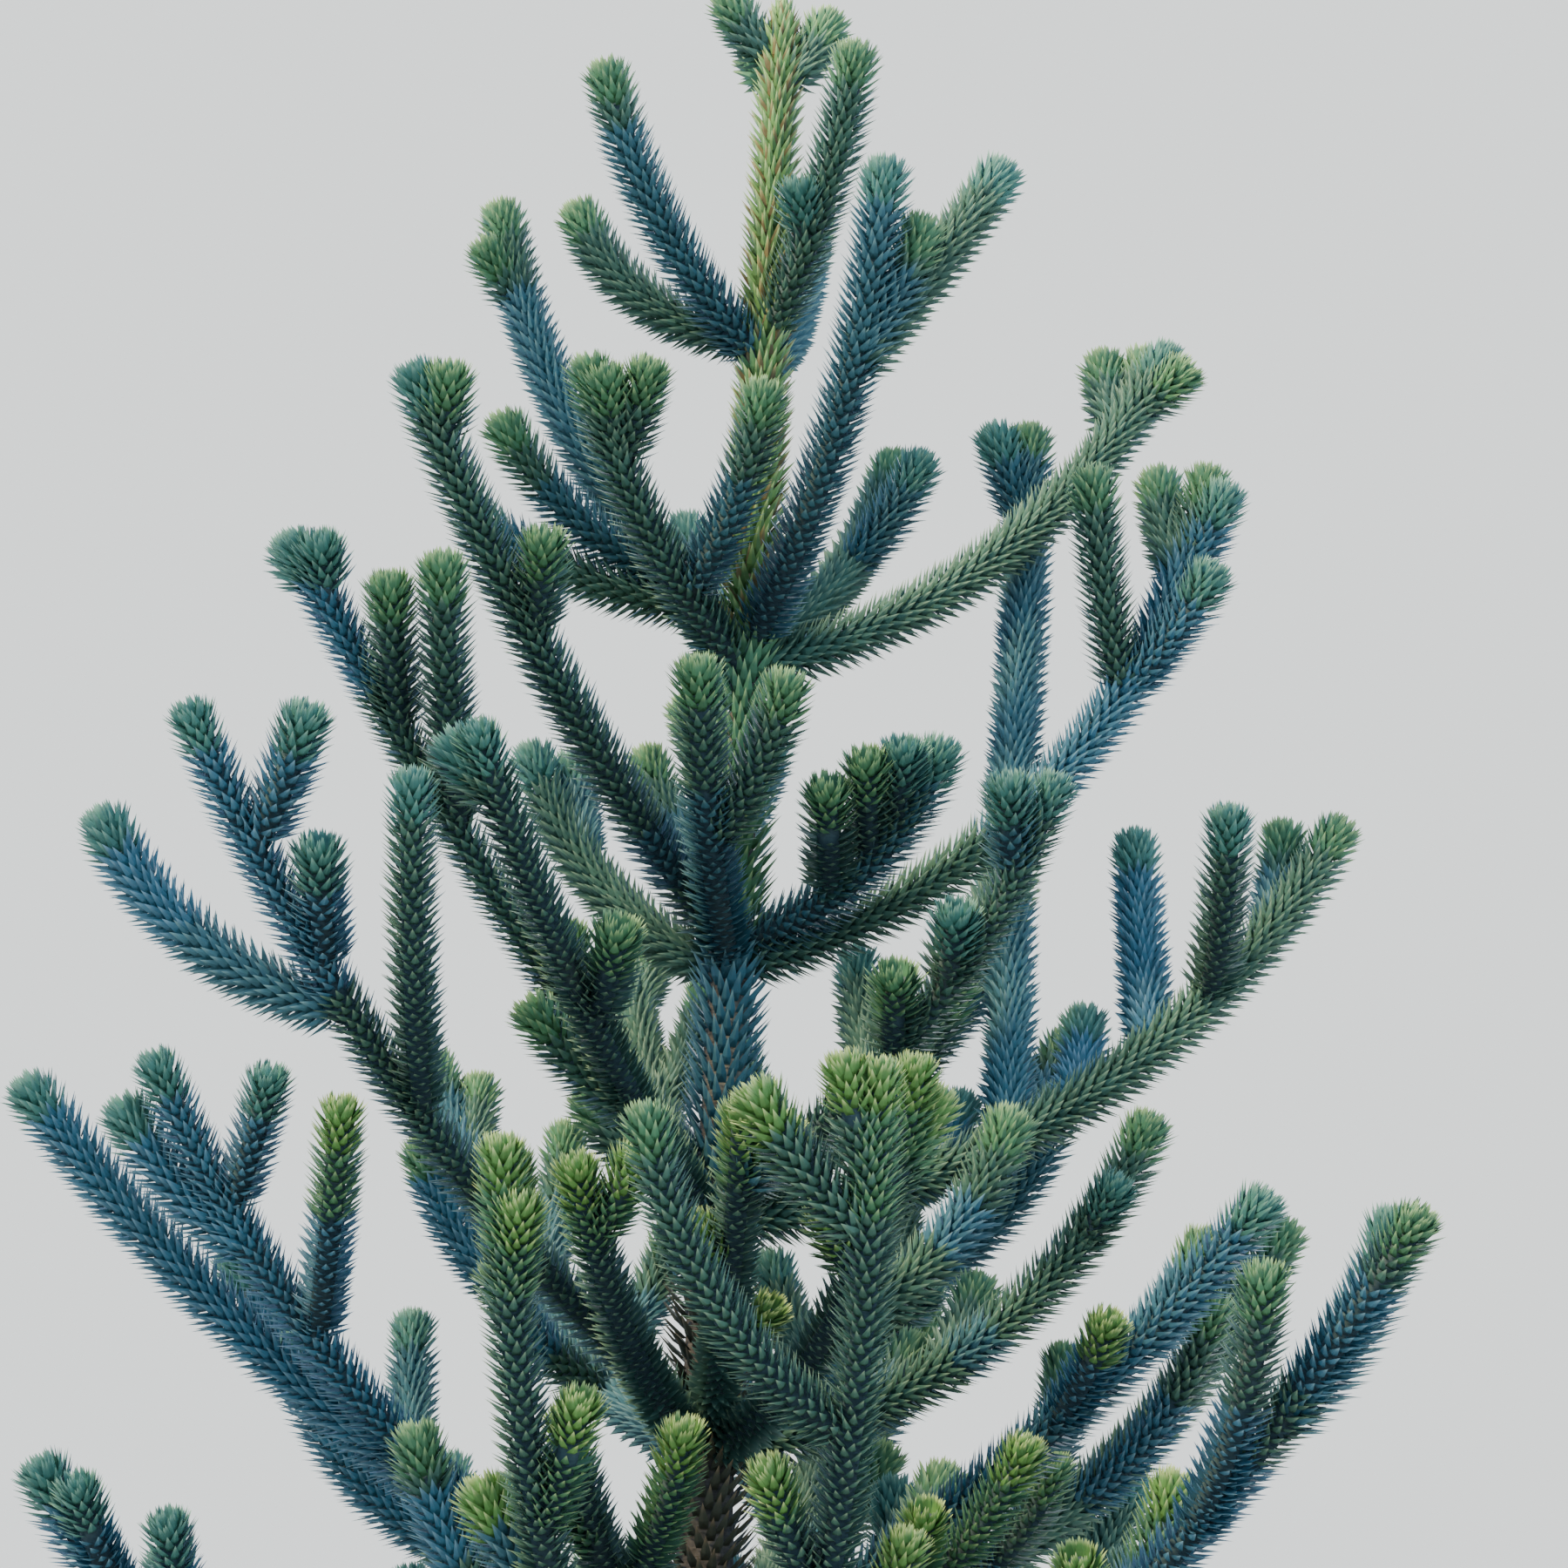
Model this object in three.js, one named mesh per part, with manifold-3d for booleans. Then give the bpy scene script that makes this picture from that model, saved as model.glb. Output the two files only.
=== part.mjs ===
// A young monkey puzzle tree, rooted in the ground: one straight trunk with a slight lean, and rings of
// long upswept arms. Every arm is clad in stiff pointed leaves from the trunk to its blunt tip, and so is
// the upper trunk between the rings. Millimetres, +Z up, origin on the ground at the trunk's centre.
// Compass angles run in plan from +X (right) over +Y (back). Rise angles are measured up from level.
import * as THREE from "three";
import { mergeVertices } from "three/addons/utils/BufferGeometryUtils.js";
import Module from "manifold-3d";

// Trunk
const TRUNK_HEIGHT = 3425;
const TRUNK_FOOT_RADIUS = 46;
const TRUNK_TIP_RADIUS = 4;
const TRUNK_TAPER_POWER = 0.85;
const FLARE_WIDTH = 22;
const FLARE_HEIGHT = 75;
const TRUNK_SIDES = 12;
const TRUNK_TIERS = 18;
const TRUNK_TIER_CROWDING = 1.25;
const LEAN_LOW = 0.01;
const LEAN_HIGH = 0.05;
const LEAN_CHANGE_HEIGHT = 1900;

// Leafy stems of the arms: three sides, with every second face drawn out into a pointed leaf
const CORE_RADIUS = 23;
const LEAF_REACH = 40;
const TIER_LENGTH = 64;
const LEAF_FORWARD = 54;
const ARM_SIDES = 3;
const ARM_ROOT_RADIUS = 7;
const ARM_SWELL_LENGTH = 110;
const ARM_ROOT_DEPTH = 0.5;
const RING_STAGGER = 13;
const ARM_BARE_LENGTH = 65;
const SHOOT_ROOT_RADIUS = 8;
const SHOOT_SWELL_LENGTH = 55;
const SHOOT_BARE_LENGTH = 40;
const SHOOT_SHORTEST = 70;
const SHOOT_END_RISE = 78;
const SHOOT_UPTURN_LENGTH = 230;
const SHOOT_DIP = 6;
const TIP_DOME = 14;

// Leafy sleeves round the upper trunk
const SLEEVE_SIDES = 6;
const SLEEVE_THICKNESS = 7;
const SLEEVE_LEAF_STAND = 20;
const SLEEVE_TIER_LENGTH = 52;
const SLEEVE_LEAF_FORWARD = 44;
const SLEEVE_ABOVE_RING = 55;
const SLEEVE_BELOW_RING = 36;
const LEADER_TIP_ABOVE_TRUNK = 20;
const SLEEVE_COUNT = 5;

// Clearances
const SEAT_GAP = 0.3;
const ARM_SPACING = 54;
const LEAF_CLEARANCE = 3;
const WALK_STEP = 10;
const WELD_DISTANCE = 1e-3;

const GREEN_ARM = 0x36583f;
const GREEN_FRONT_ARM = 0x4d6f35;
const GREEN_LEADER = 0x7f9646;
const BARK = 0x6a5d4f;
const BARK_ROUGHNESS = 0.9;
const LEAF_ROUGHNESS = 0.6;

// Arms that lead less than this share of their way towards -Y are not in the front
const FRONT_SHARE = 0.5;

// The shoots of a full-grown arm: place, turn and length, the two last as shares of the arm's length
const FULL_ARM_PAIR = [
  [0.42, 42, 0.34],
  [0.5, -42, 0.33],
];
const FULL_ARM_TIP = [0.78, 0.18];

// A side shoot: where it leaves (share of its parent's length), how far it turns in plan, its length,
// and where they differ from the rule, its rise at both ends and its own shoots.
const shoot = (at, turn, length, more = {}) => ({ at, turn, length, shoots: [], ...more });

// An arm: compass angle, length, rise at its root and at its tip, and its side shoots.
const arm = (compass, length, riseFrom, riseTo, shoots = []) => {
  return { compass, length, riseFrom, riseTo, shoots };
};

// Old arms behind and below carry the same shoots: a long pair, and a short one near the tip.
const fullArm = (compass, length, riseFrom, riseTo, tipTurn) => {
  const pair = FULL_ARM_PAIR.map(([at, turn, share]) => shoot(at, turn, length * share));
  const [tipAt, tipShare] = FULL_ARM_TIP;
  return arm(compass, length, riseFrom, riseTo, [...pair, shoot(tipAt, tipTurn, length * tipShare)]);
};

// The rings of arms from the top down, each a year's growth of the trunk apart
const RINGS = [
  {
    height: 3330,
    arms: [
      arm(22, 130, 45, 74),
      arm(168, 125, 45, 74),
      arm(124, 90, 40, 72),
    ],
  },
  {
    height: 2990,
    arms: [
      arm(75, 370, 34, 74),
      arm(165, 315, 10, 74),
      arm(213, 385, 36, 78),
      arm(311, 350, 48, 80, [shoot(0.3, -50, 90)]),
    ],
  },
  {
    height: 2630,
    arms: [
      arm(14, 680, 18, 64, [
        shoot(0.8, 90, 140, { riseTo: 84 }),
        shoot(0.82, 50, 140),
        shoot(0.84, -30, 100, { riseFrom: 30, riseTo: 45 }),
      ]),
      arm(52, 425, 28, 70, [shoot(0.5, -60, 180)]),
      arm(105, 420, 22, 66, [shoot(0.6, 40, 130), shoot(0.64, -40, 120)]),
      arm(160, 670, 45, 80, [
        shoot(0.16, 35, 290, { riseFrom: 18, riseTo: 66 }),
        shoot(0.78, 40, 100, { riseFrom: 45, riseTo: 70 }),
        shoot(0.1, 20, 300, { riseFrom: 8, riseTo: 40 }),
      ]),
      arm(225, 390, 31, 74, [shoot(0.26, 84, 260), shoot(0.66, 80, 130), shoot(0.66, 30, 120)]),
      arm(298, 560, 32, 80, [shoot(0.58, 78, 325, { riseTo: 58 }), shoot(0.6, 50, 185)]),
    ],
  },
  {
    height: 2300,
    arms: [
      arm(3, 825, 16, 80, [
        shoot(0.4, 70, 555, { riseFrom: 64, riseTo: 82, shoots: [shoot(0.74, 110, 140)] }),
        shoot(0.64, -120, 260, { riseFrom: 62, riseTo: 86 }),
        shoot(0.64, -35, 185, { riseFrom: 38, riseTo: 58 }),
        shoot(0.82, 100, 170),
        shoot(0.82, -30, 130, { riseFrom: 50, riseTo: 72 }),
      ]),
      fullArm(95, 640, 22, 66, 30),
      arm(147, 410, 22, 74, [shoot(0.58, -45, 180)]),
      arm(226, 700, 38, 61, [shoot(0.86, 55, 95, { riseTo: 72 }), shoot(0.55, 55, 130)]),
      arm(262, 365, 31, 74, [shoot(0.42, 60, 210)]),
      arm(337, 330, 10, 72, [shoot(0.5, -70, 145), shoot(0.62, -60, 120), shoot(0.34, -70, 160)]),
    ],
  },
  {
    height: 2030,
    arms: [
      arm(12, 880, 8, 60, [
        shoot(0.36, 70, 420, { riseFrom: 50, riseTo: 80 }),
        shoot(0.46, 65, 170, { riseTo: 80 }),
        shoot(0.58, 75, 320, { riseFrom: 50, riseTo: 80 }),
        shoot(0.68, -95, 240),
        shoot(0.8, 50, 175, { riseTo: 84 }),
      ]),
      fullArm(55, 780, 18, 62, -35),
      fullArm(104, 700, 18, 62, -35),
      arm(211, 815, 47, 58, [
        shoot(0.56, 55, 310),
        shoot(0.7, 55, 180),
        shoot(0.88, 50, 90),
        shoot(0.9, -45, 85),
      ]),
      arm(241, 630, 31, 56, [
        shoot(0.84, -55, 100),
        shoot(0.45, 50, 130),
        shoot(0.25, -50, 180, { riseTo: 58 }),
      ]),
      arm(332, 580, 26, 68, [shoot(0.78, -70, 120), shoot(0.4, -60, 120)]),
    ],
  },
  {
    height: 1800,
    arms: [
      arm(5, 610, 8, 68, [shoot(0.4, 60, 160), shoot(0.7, -40, 110)]),
      fullArm(50, 840, 16, 60, 35),
      fullArm(122, 860, 16, 60, -35),
      arm(220, 915, 32, 60, [
        shoot(0.48, 50, 370, { riseTo: 82 }),
        shoot(0.62, -50, 360, { riseFrom: 14, riseTo: 64 }),
        shoot(0.67, 50, 150),
        shoot(0.82, 95, 160),
      ]),
      arm(246, 410, 18, 68),
      arm(277, 440, 20, 65),
      arm(304, 535, 13, 78, [shoot(0.42, 72, 320, { riseFrom: 24, riseTo: 76 })]),
    ],
  },
  {
    height: 1560,
    arms: [
      fullArm(25, 900, 14, 58, 35),
      fullArm(75, 900, 14, 58, -35),
      fullArm(140, 920, 14, 58, 35),
      arm(205, 840, 26, 65, [
        shoot(0.34, -27, 640, { riseTo: 52 }),
        shoot(0.6, 80, 280),
        shoot(0.78, 100, 215),
        shoot(0.72, -25, 220, { riseFrom: 34, riseTo: 62 }),
      ]),
      arm(246, 420, 16, 70, [shoot(0.45, 55, 220), shoot(0.6, -35, 120)]),
      arm(346, 740, 28, 50, [shoot(0.55, -40, 160), shoot(0.7, 40, 170)]),
      arm(332, 450, 8, 64, [shoot(0.6, 40, 110), shoot(0.5, -50, 150)]),
    ],
  },
  {
    height: 1290,
    arms: [
      fullArm(50, 960, 12, 56, 35),
      fullArm(115, 960, 12, 56, -35),
      arm(200, 840, 15, 60, [shoot(0.5, -40, 300), shoot(0.6, 45, 260), shoot(0.8, 40, 150)]),
      arm(251, 930, 28, 84, [shoot(0.34, -80, 370), shoot(0.82, 35, 120)]),
      arm(288, 1020, 30, 86, [
        shoot(0.66, -84, 370, { riseFrom: 28, riseTo: 84 }),
        shoot(0.83, -95, 185, { riseFrom: 42, riseTo: 62 }),
        shoot(0.86, -60, 150),
        shoot(0.34, 50, 250),
      ]),
      arm(321, 1060, 27, 52, [shoot(0.64, -28, 290), shoot(0.4, 50, 300), shoot(0.76, 32, 240)]),
    ],
  },
  {
    height: 1000,
    arms: [20, 92, 163, 236, 308].map((compass, index) => fullArm(compass, 950, 8, 52, index % 2 ? -35 : 35)),
  },
  {
    height: 700,
    arms: [50, 130, 210, 300].map((compass, index) => fullArm(compass, 880, 2, 46, index % 2 ? -35 : 35)),
  },
];

const { degToRad } = THREE.MathUtils;
const UP = new THREE.Vector3(0, 0, 1);

const wasm = await Module();
wasm.setup();

// Joins triangles into one closed solid.
function solidFrom(points, faces) {
  const raw = new THREE.BufferGeometry();
  raw.setAttribute("position", new THREE.Float32BufferAttribute(points.flatMap((p) => p.toArray()), 3));
  raw.setIndex(faces.flat());
  const merged = mergeVertices(raw, WELD_DISTANCE);
  const mesh = new wasm.Mesh({
    numProp: 3,
    vertProperties: new Float32Array(merged.attributes.position.array),
    triVerts: new Uint32Array(merged.index.array),
  });
  return new wasm.Manifold(mesh);
}

// The largest body of a solid, with loose scrap dropped and sealed hollows filled.
function mainBody(solid) {
  const bodies = solid.decompose().filter((body) => body.volume() > 0);
  return bodies.reduce((best, body) => (body.volume() > best.volume() ? body : best));
}

// A named mesh of the object made from a solid.
function pieceFrom(name, solid, color, roughness) {
  const { vertProperties, triVerts } = solid.getMesh();
  const geometry = new THREE.BufferGeometry();
  geometry.setAttribute("position", new THREE.Float32BufferAttribute(vertProperties, 3));
  geometry.setIndex([...triVerts]);
  const flat = geometry.toNonIndexed();
  flat.computeVertexNormals();
  const piece = new THREE.Mesh(flat, new THREE.MeshStandardMaterial({ color, roughness, metalness: 0 }));
  piece.name = name;
  return piece;
}

// The trunk's centre at a height: nearly upright below, leaning a little to the right above.
function trunkCentre(height) {
  const above = Math.max(0, height - LEAN_CHANGE_HEIGHT);
  return new THREE.Vector3(LEAN_LOW * height + (LEAN_HIGH - LEAN_LOW) * above, 0, height);
}

// The trunk's radius at a height: an even taper, and a flare where the roots begin.
function trunkRadius(height) {
  const left = Math.max(0, 1 - height / TRUNK_HEIGHT);
  const taper = TRUNK_TIP_RADIUS + (TRUNK_FOOT_RADIUS - TRUNK_TIP_RADIUS) * left ** TRUNK_TAPER_POWER;
  return taper + FLARE_WIDTH * Math.exp(-height / FLARE_HEIGHT);
}

// The trunk as one solid, grown outwards by a given clearance for cutting its neighbours.
function trunkSolid(extra) {
  const points = [];
  const faces = [];
  for (let tier = 0; tier <= TRUNK_TIERS; tier += 1) {
    const share = tier / TRUNK_TIERS;
    const height = TRUNK_HEIGHT * share ** TRUNK_TIER_CROWDING;
    const centre = trunkCentre(height);
    const radius = trunkRadius(height) + extra;
    for (let side = 0; side < TRUNK_SIDES; side += 1) {
      const angle = (side / TRUNK_SIDES) * Math.PI * 2;
      points.push(new THREE.Vector3(Math.cos(angle) * radius, Math.sin(angle) * radius, 0).add(centre));
    }
  }
  for (let tier = 0; tier < TRUNK_TIERS; tier += 1) {
    for (let side = 0; side < TRUNK_SIDES; side += 1) {
      const next = (side + 1) % TRUNK_SIDES;
      const low = tier * TRUNK_SIDES;
      const high = low + TRUNK_SIDES;
      faces.push([low + side, low + next, high + next], [low + side, high + next, high + side]);
    }
  }
  const foot = points.push(trunkCentre(0)) - 1;
  const tip = points.push(trunkCentre(TRUNK_HEIGHT + TRUNK_TIP_RADIUS + extra)) - 1;
  const top = TRUNK_TIERS * TRUNK_SIDES;
  for (let side = 0; side < TRUNK_SIDES; side += 1) {
    const next = (side + 1) % TRUNK_SIDES;
    faces.push([foot, next, side], [tip, top + side, top + next]);
  }
  return solidFrom(points, faces);
}

// The level direction of a compass angle.
const levelWay = (compass) => new THREE.Vector3(Math.cos(degToRad(compass)), Math.sin(degToRad(compass)), 0);

// Walks a stem from its root: the heading stays, and the rise changes evenly from root to tip.
function walkStem(root, compass, length, riseFrom, riseTo) {
  const steps = Math.max(2, Math.round(length / WALK_STEP));
  const points = [root.clone()];
  const level = levelWay(compass);
  for (let step = 0; step < steps; step += 1) {
    const rise = degToRad(riseFrom + ((riseTo - riseFrom) * (step + 0.5)) / steps);
    const way = level.clone().multiplyScalar(Math.cos(rise)).addScaledVector(UP, Math.sin(rise));
    points.push(points[step].clone().addScaledVector(way, length / steps));
  }
  return { points, length, compass, riseFrom, riseTo };
}

// A point of a stem at a distance from its root, with the stem's direction there.
function alongStem(stem, distance) {
  const last = stem.points.length - 1;
  const place = THREE.MathUtils.clamp((distance / stem.length) * last, 0, last - 1e-6);
  const index = Math.floor(place);
  const point = stem.points[index].clone().lerp(stem.points[index + 1], place - index);
  const before = stem.points[Math.max(0, index - 1)];
  const after = stem.points[Math.min(last, index + 2)];
  return { point, way: after.clone().sub(before).normalize() };
}

// The distance from a point to a stem's line.
function distanceToStem(point, stem) {
  const segment = new THREE.Line3();
  const nearest = new THREE.Vector3();
  let least = Infinity;
  for (let index = 0; index + 2 < stem.points.length; index += 2) {
    segment.set(stem.points[index], stem.points[index + 2]).closestPointToPoint(point, true, nearest);
    least = Math.min(least, nearest.distanceTo(point));
  }
  return least;
}

// Whether a point stands clear of every stem that belongs to other pieces.
function isClear(point, owner, space) {
  return stems.every((stem) => stem.owner === owner || distanceToStem(point, stem) > space + stem.reach);
}

// Grows a side shoot off its parent, cut back to where it keeps clear of other arms, or left out.
function growShoot(parent, form) {
  const { at, turn, length, shoots } = form;
  const { point } = alongStem(parent, parent.length * at);
  const riseThere = parent.riseFrom + (parent.riseTo - parent.riseFrom) * at;
  const riseFrom = form.riseFrom ?? riseThere - SHOOT_DIP;
  const upturn = Math.min(1, length / SHOOT_UPTURN_LENGTH);
  const riseTo = form.riseTo ?? riseFrom + (SHOOT_END_RISE - riseFrom) * upturn;
  const whole = walkStem(point, parent.compass + turn, length, riseFrom, riseTo);
  const room = ARM_SPACING - LEAF_REACH;
  const blocked = whole.points.findIndex((place) => !isClear(place, parent.owner, room));
  const kept = blocked < 0 ? whole.points.length : blocked;
  const share = (kept - 1) / (whole.points.length - 1);
  if (length * share < SHOOT_SHORTEST) {
    return;
  }
  const grown = {
    ...whole,
    points: whole.points.slice(0, kept),
    length: length * share,
    riseTo: riseFrom + (riseTo - riseFrom) * share,
    owner: parent.owner,
    reach: LEAF_REACH,
    isShoot: true,
  };
  stems.push(grown);
  shoots.forEach((next) => growShoot(grown, next));
}

// A closed tube along a stem with a toothed skin: each tier is turned half a side against the last,
// and the faces that point to the tip are drawn out into leaves where there is room.
function leafyTube(stem, shape) {
  const { sides, tierLength, radiusAt, leafForward, bareLength, across } = shape;
  const tiers = Math.max(2, Math.round((stem.length - TIP_DOME) / tierLength));
  const spacing = (stem.length - TIP_DOME) / tiers;
  const points = [];
  const faces = [];
  const frameAt = (distance) => {
    const { point, way } = alongStem(stem, distance);
    const side = across ? across.clone() : UP.clone().cross(way).normalize();
    return { point, way, side, top: way.clone().cross(side).normalize() };
  };
  const onRing = (frame, angle, radius) =>
    frame.point
      .clone()
      .addScaledVector(frame.side, Math.cos(angle) * radius)
      .addScaledVector(frame.top, Math.sin(angle) * radius);
  const angleOf = (tier, side) => ((side + (tier % 2) / 2) / sides) * Math.PI * 2 + Math.PI / 2;
  for (let tier = 0; tier <= tiers; tier += 1) {
    const frame = frameAt(tier * spacing);
    for (let side = 0; side < sides; side += 1) {
      points.push(onRing(frame, angleOf(tier, side), radiusAt(tier * spacing)));
    }
  }
  for (let tier = 0; tier < tiers; tier += 1) {
    const low = tier * sides;
    const high = low + sides;
    const shift = tier % 2;
    const forward = tier * spacing + leafForward;
    const frame = frameAt(Math.min(forward, stem.length));
    frame.point.addScaledVector(frame.way, Math.max(0, forward - stem.length));
    for (let side = 0; side < sides; side += 1) {
      const next = (side + 1) % sides;
      const above = (side + shift) % sides;
      const aboveNext = (above + 1) % sides;
      faces.push([low + next, high + aboveNext, high + above]);
      const apex = onRing(frame, angleOf(tier, side + 0.5), stem.reach);
      const hasLeaf = tier * spacing >= bareLength && isClear(apex, stem.owner, LEAF_CLEARANCE);
      if (hasLeaf) {
        const tip = points.push(apex) - 1;
        faces.push([low + side, low + next, tip]);
        faces.push([low + next, high + above, tip]);
        faces.push([high + above, low + side, tip]);
      } else {
        faces.push([low + side, low + next, high + above]);
      }
    }
  }
  const root = points.push(stem.points[0].clone()) - 1;
  const bud = points.push(frameAt(stem.length).point) - 1;
  const end = tiers * sides;
  for (let side = 0; side < sides; side += 1) {
    const next = (side + 1) % sides;
    faces.push([root, next, side], [bud, end + side, end + next]);
  }
  return solidFrom(points, faces);
}

// A radius that swells from a slim root to the full core.
const swelling = (rootRadius, swellLength) => (distance) =>
  rootRadius + (CORE_RADIUS - rootRadius) * Math.min(1, distance / swellLength);

const ARM_SHAPE = {
  sides: ARM_SIDES,
  tierLength: TIER_LENGTH,
  radiusAt: swelling(ARM_ROOT_RADIUS, ARM_SWELL_LENGTH),
  leafForward: LEAF_FORWARD,
  bareLength: ARM_BARE_LENGTH,
};

const SHOOT_SHAPE = {
  ...ARM_SHAPE,
  radiusAt: swelling(SHOOT_ROOT_RADIUS, SHOOT_SWELL_LENGTH),
  bareLength: SHOOT_BARE_LENGTH,
};

const sleeveShape = (from) => ({
  sides: SLEEVE_SIDES,
  tierLength: SLEEVE_TIER_LENGTH,
  radiusAt: (distance) => trunkRadius(from + distance) + SLEEVE_THICKNESS,
  leafForward: SLEEVE_LEAF_FORWARD,
  bareLength: 0,
  across: new THREE.Vector3(1, 0, 0),
});

// A stretch of the upper trunk's line between two heights.
function trunkStem(name, from, to) {
  const steps = Math.round((to - from) / WALK_STEP);
  const heightAt = (step) => from + ((to - from) * step) / steps;
  const points = Array.from({ length: steps + 1 }, (_, step) => trunkCentre(heightAt(step)));
  const reach = trunkRadius((from + to) / 2) + SLEEVE_THICKNESS + SLEEVE_LEAF_STAND;
  return { points, length: to - from, owner: name, reach, from };
}

// First the main stems are placed, then the shoots grow in the room that is left.
const stems = [];
const arms = RINGS.flatMap((ring, ringIndex) =>
  ring.arms.map((form, armIndex) => {
    const name = `arm_${ringIndex + 1}_${armIndex + 1}`;
    const height = ring.height + (armIndex % 2 ? RING_STAGGER : -RING_STAGGER);
    const inset = trunkRadius(height) * ARM_ROOT_DEPTH;
    const root = trunkCentre(height).addScaledVector(levelWay(form.compass), inset);
    const stem = walkStem(root, form.compass, form.length, form.riseFrom, form.riseTo);
    const isFront = Math.sin(degToRad(form.compass)) < -FRONT_SHARE;
    return { ...stem, shoots: form.shoots, owner: name, reach: LEAF_REACH, isFront };
  }),
);
const sleeves = RINGS.slice(0, SLEEVE_COUNT).map((ring, index) => {
  const isTop = index === 0;
  const top = isTop ? TRUNK_HEIGHT + LEADER_TIP_ABOVE_TRUNK : RINGS[index - 1].height - SLEEVE_BELOW_RING;
  return trunkStem(`leader_${index + 1}`, ring.height + SLEEVE_ABOVE_RING, top);
});
stems.push(...arms, ...sleeves);
arms.forEach((stem) => stem.shoots.forEach((form) => growShoot(stem, form)));

const group = new THREE.Group();
const trunkCut = trunkSolid(SEAT_GAP);
group.add(pieceFrom("trunk", trunkSolid(0), BARK, BARK_ROUGHNESS));
sleeves.forEach((sleeve) => {
  const solid = mainBody(leafyTube(sleeve, sleeveShape(sleeve.from)).subtract(trunkCut));
  group.add(pieceFrom(sleeve.owner, solid, GREEN_LEADER, LEAF_ROUGHNESS));
});
arms.forEach((stem) => {
  const own = stems.filter((other) => other.owner === stem.owner && other.isShoot);
  const joined = own.reduce(
    (solid, next) => solid.add(leafyTube(next, SHOOT_SHAPE)),
    leafyTube(stem, ARM_SHAPE),
  );
  const solid = mainBody(joined.subtract(trunkCut));
  group.add(pieceFrom(stem.owner, solid, stem.isFront ? GREEN_FRONT_ARM : GREEN_ARM, LEAF_ROUGHNESS));
});

export default group;
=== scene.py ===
"""A young monkey puzzle tree, rooted in the ground and seen from below its crown.

The trunk carries ten rings of upswept arms. Every arm is a slim woody stem clad in stiff, keeled, pointed
leaves set in a close spiral, with blunt rosettes at the tips, and the upper trunk wears the same leaves.
Lengths are metres, +Z is up and the origin is on the ground at the trunk's centre. Compass angles run in
plan from +X (right) over +Y (back), and rise angles are measured up from level, both in degrees.
"""

import logging
import math
import random
from dataclasses import dataclass, field
from enum import Enum

import bmesh
import bpy
import numpy as np
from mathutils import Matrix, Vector, noise


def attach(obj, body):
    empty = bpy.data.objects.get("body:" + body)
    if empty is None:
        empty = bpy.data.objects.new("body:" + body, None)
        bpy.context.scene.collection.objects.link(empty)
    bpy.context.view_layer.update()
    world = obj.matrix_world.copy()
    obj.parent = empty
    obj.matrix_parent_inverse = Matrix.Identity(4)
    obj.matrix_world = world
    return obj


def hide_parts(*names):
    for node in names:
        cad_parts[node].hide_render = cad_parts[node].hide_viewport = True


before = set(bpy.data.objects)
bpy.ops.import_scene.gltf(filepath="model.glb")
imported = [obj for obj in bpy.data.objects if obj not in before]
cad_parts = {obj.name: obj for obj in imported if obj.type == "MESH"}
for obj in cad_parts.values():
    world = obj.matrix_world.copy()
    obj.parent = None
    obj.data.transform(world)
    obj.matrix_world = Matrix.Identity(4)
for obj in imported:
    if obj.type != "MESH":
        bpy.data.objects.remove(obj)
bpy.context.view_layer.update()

LOG = logging.getLogger("monkey_puzzle")
SEED = 41
RING_SEED_STEP = 1000
SPRAY_SEED_STEP = 31
BODY = "root"
GOLDEN_ANGLE = math.radians(137.508)
UPRIGHT = 90.0
UP = np.array([0.0, 0.0, 1.0])
HAIR = 1e-6

# How arms and shoots grow
WALK_STEP = 0.010
RING_STAGGER = 0.013
ARM_ROOT_DEPTH = 0.5
ARM_SPACING = 0.054
SHOOT_SHORTEST = 0.070
SHOOT_END_RISE = 78.0
SHOOT_UPTURN_LENGTH = 0.230
SHOOT_DIP = 6.0
LEAF_REACH = 0.040
CLEARANCE_STRIDE = 2

# Finer twigs: many on the back arms and the lowest rings, few on the front arms above them
TWIGS_BELOW = 2.1
TWIG_PLACES = (0.22, 0.31, 0.40, 0.50, 0.60, 0.70, 0.80)
TWIG_TURNS = (45.0, 75.0)
TWIG_LENGTHS = (0.13, 0.25)
FRONT_TWIG_PLACES = (0.30, 0.55, 0.75)
FRONT_TWIG_LENGTHS = (0.09, 0.14)
FULL_TWIGS_BELOW = 1.45

# The leafy sleeves round the upper trunk
SLEEVE_COUNT = 5
SLEEVE_THICKNESS = 0.007
SLEEVE_LEAF_STAND = 0.020
SLEEVE_ABOVE_RING = 0.055
SLEEVE_BELOW_RING = 0.036
LEADER_TIP_ABOVE_TRUNK = 0.020

# The shoots that old arms carry: place, turn and share of the arm's length
FULL_ARM_PAIR = ((0.42, 42.0, 0.34), (0.5, -42.0, 0.33))
FULL_ARM_TIP = (0.78, 0.18)
FULL_ARM_TIP_TURN = 35


class Tint(Enum):
    """The leaf colours that are dealt out spray by spray."""

    DEEP = "deep"
    # Painted blue shade, dealt to sprays on both sides of the crown.
    BLUE = "blue"
    MID = "mid"
    FRESH = "fresh"
    # Young tips brightened with painted sunlight, in front and low in the crown.
    TIP = "tip"
    LEADER = "leader"
    AMBER = "amber"
    FROST = "frost"
    OLD = "old"


END_TINTS = (Tint.TIP, Tint.FRESH, Tint.FROST)


class Slot(Enum):
    """The record's material slots."""

    BARK = "bark"
    ARM = "arm_leaves"
    LEADER = "leader_leaves"


@dataclass(frozen=True)
class Shoot:
    """A side shoot of an arm.

    at is its place as a share of its parent's length, turn its turn in plan against the parent's heading,
    and its rises and own shoots are given only where they differ from the rule.
    """

    at: float
    turn: float
    length: float
    rise_from: float | None = None
    rise_to: float | None = None
    shoots: tuple["Shoot", ...] = ()


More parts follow.
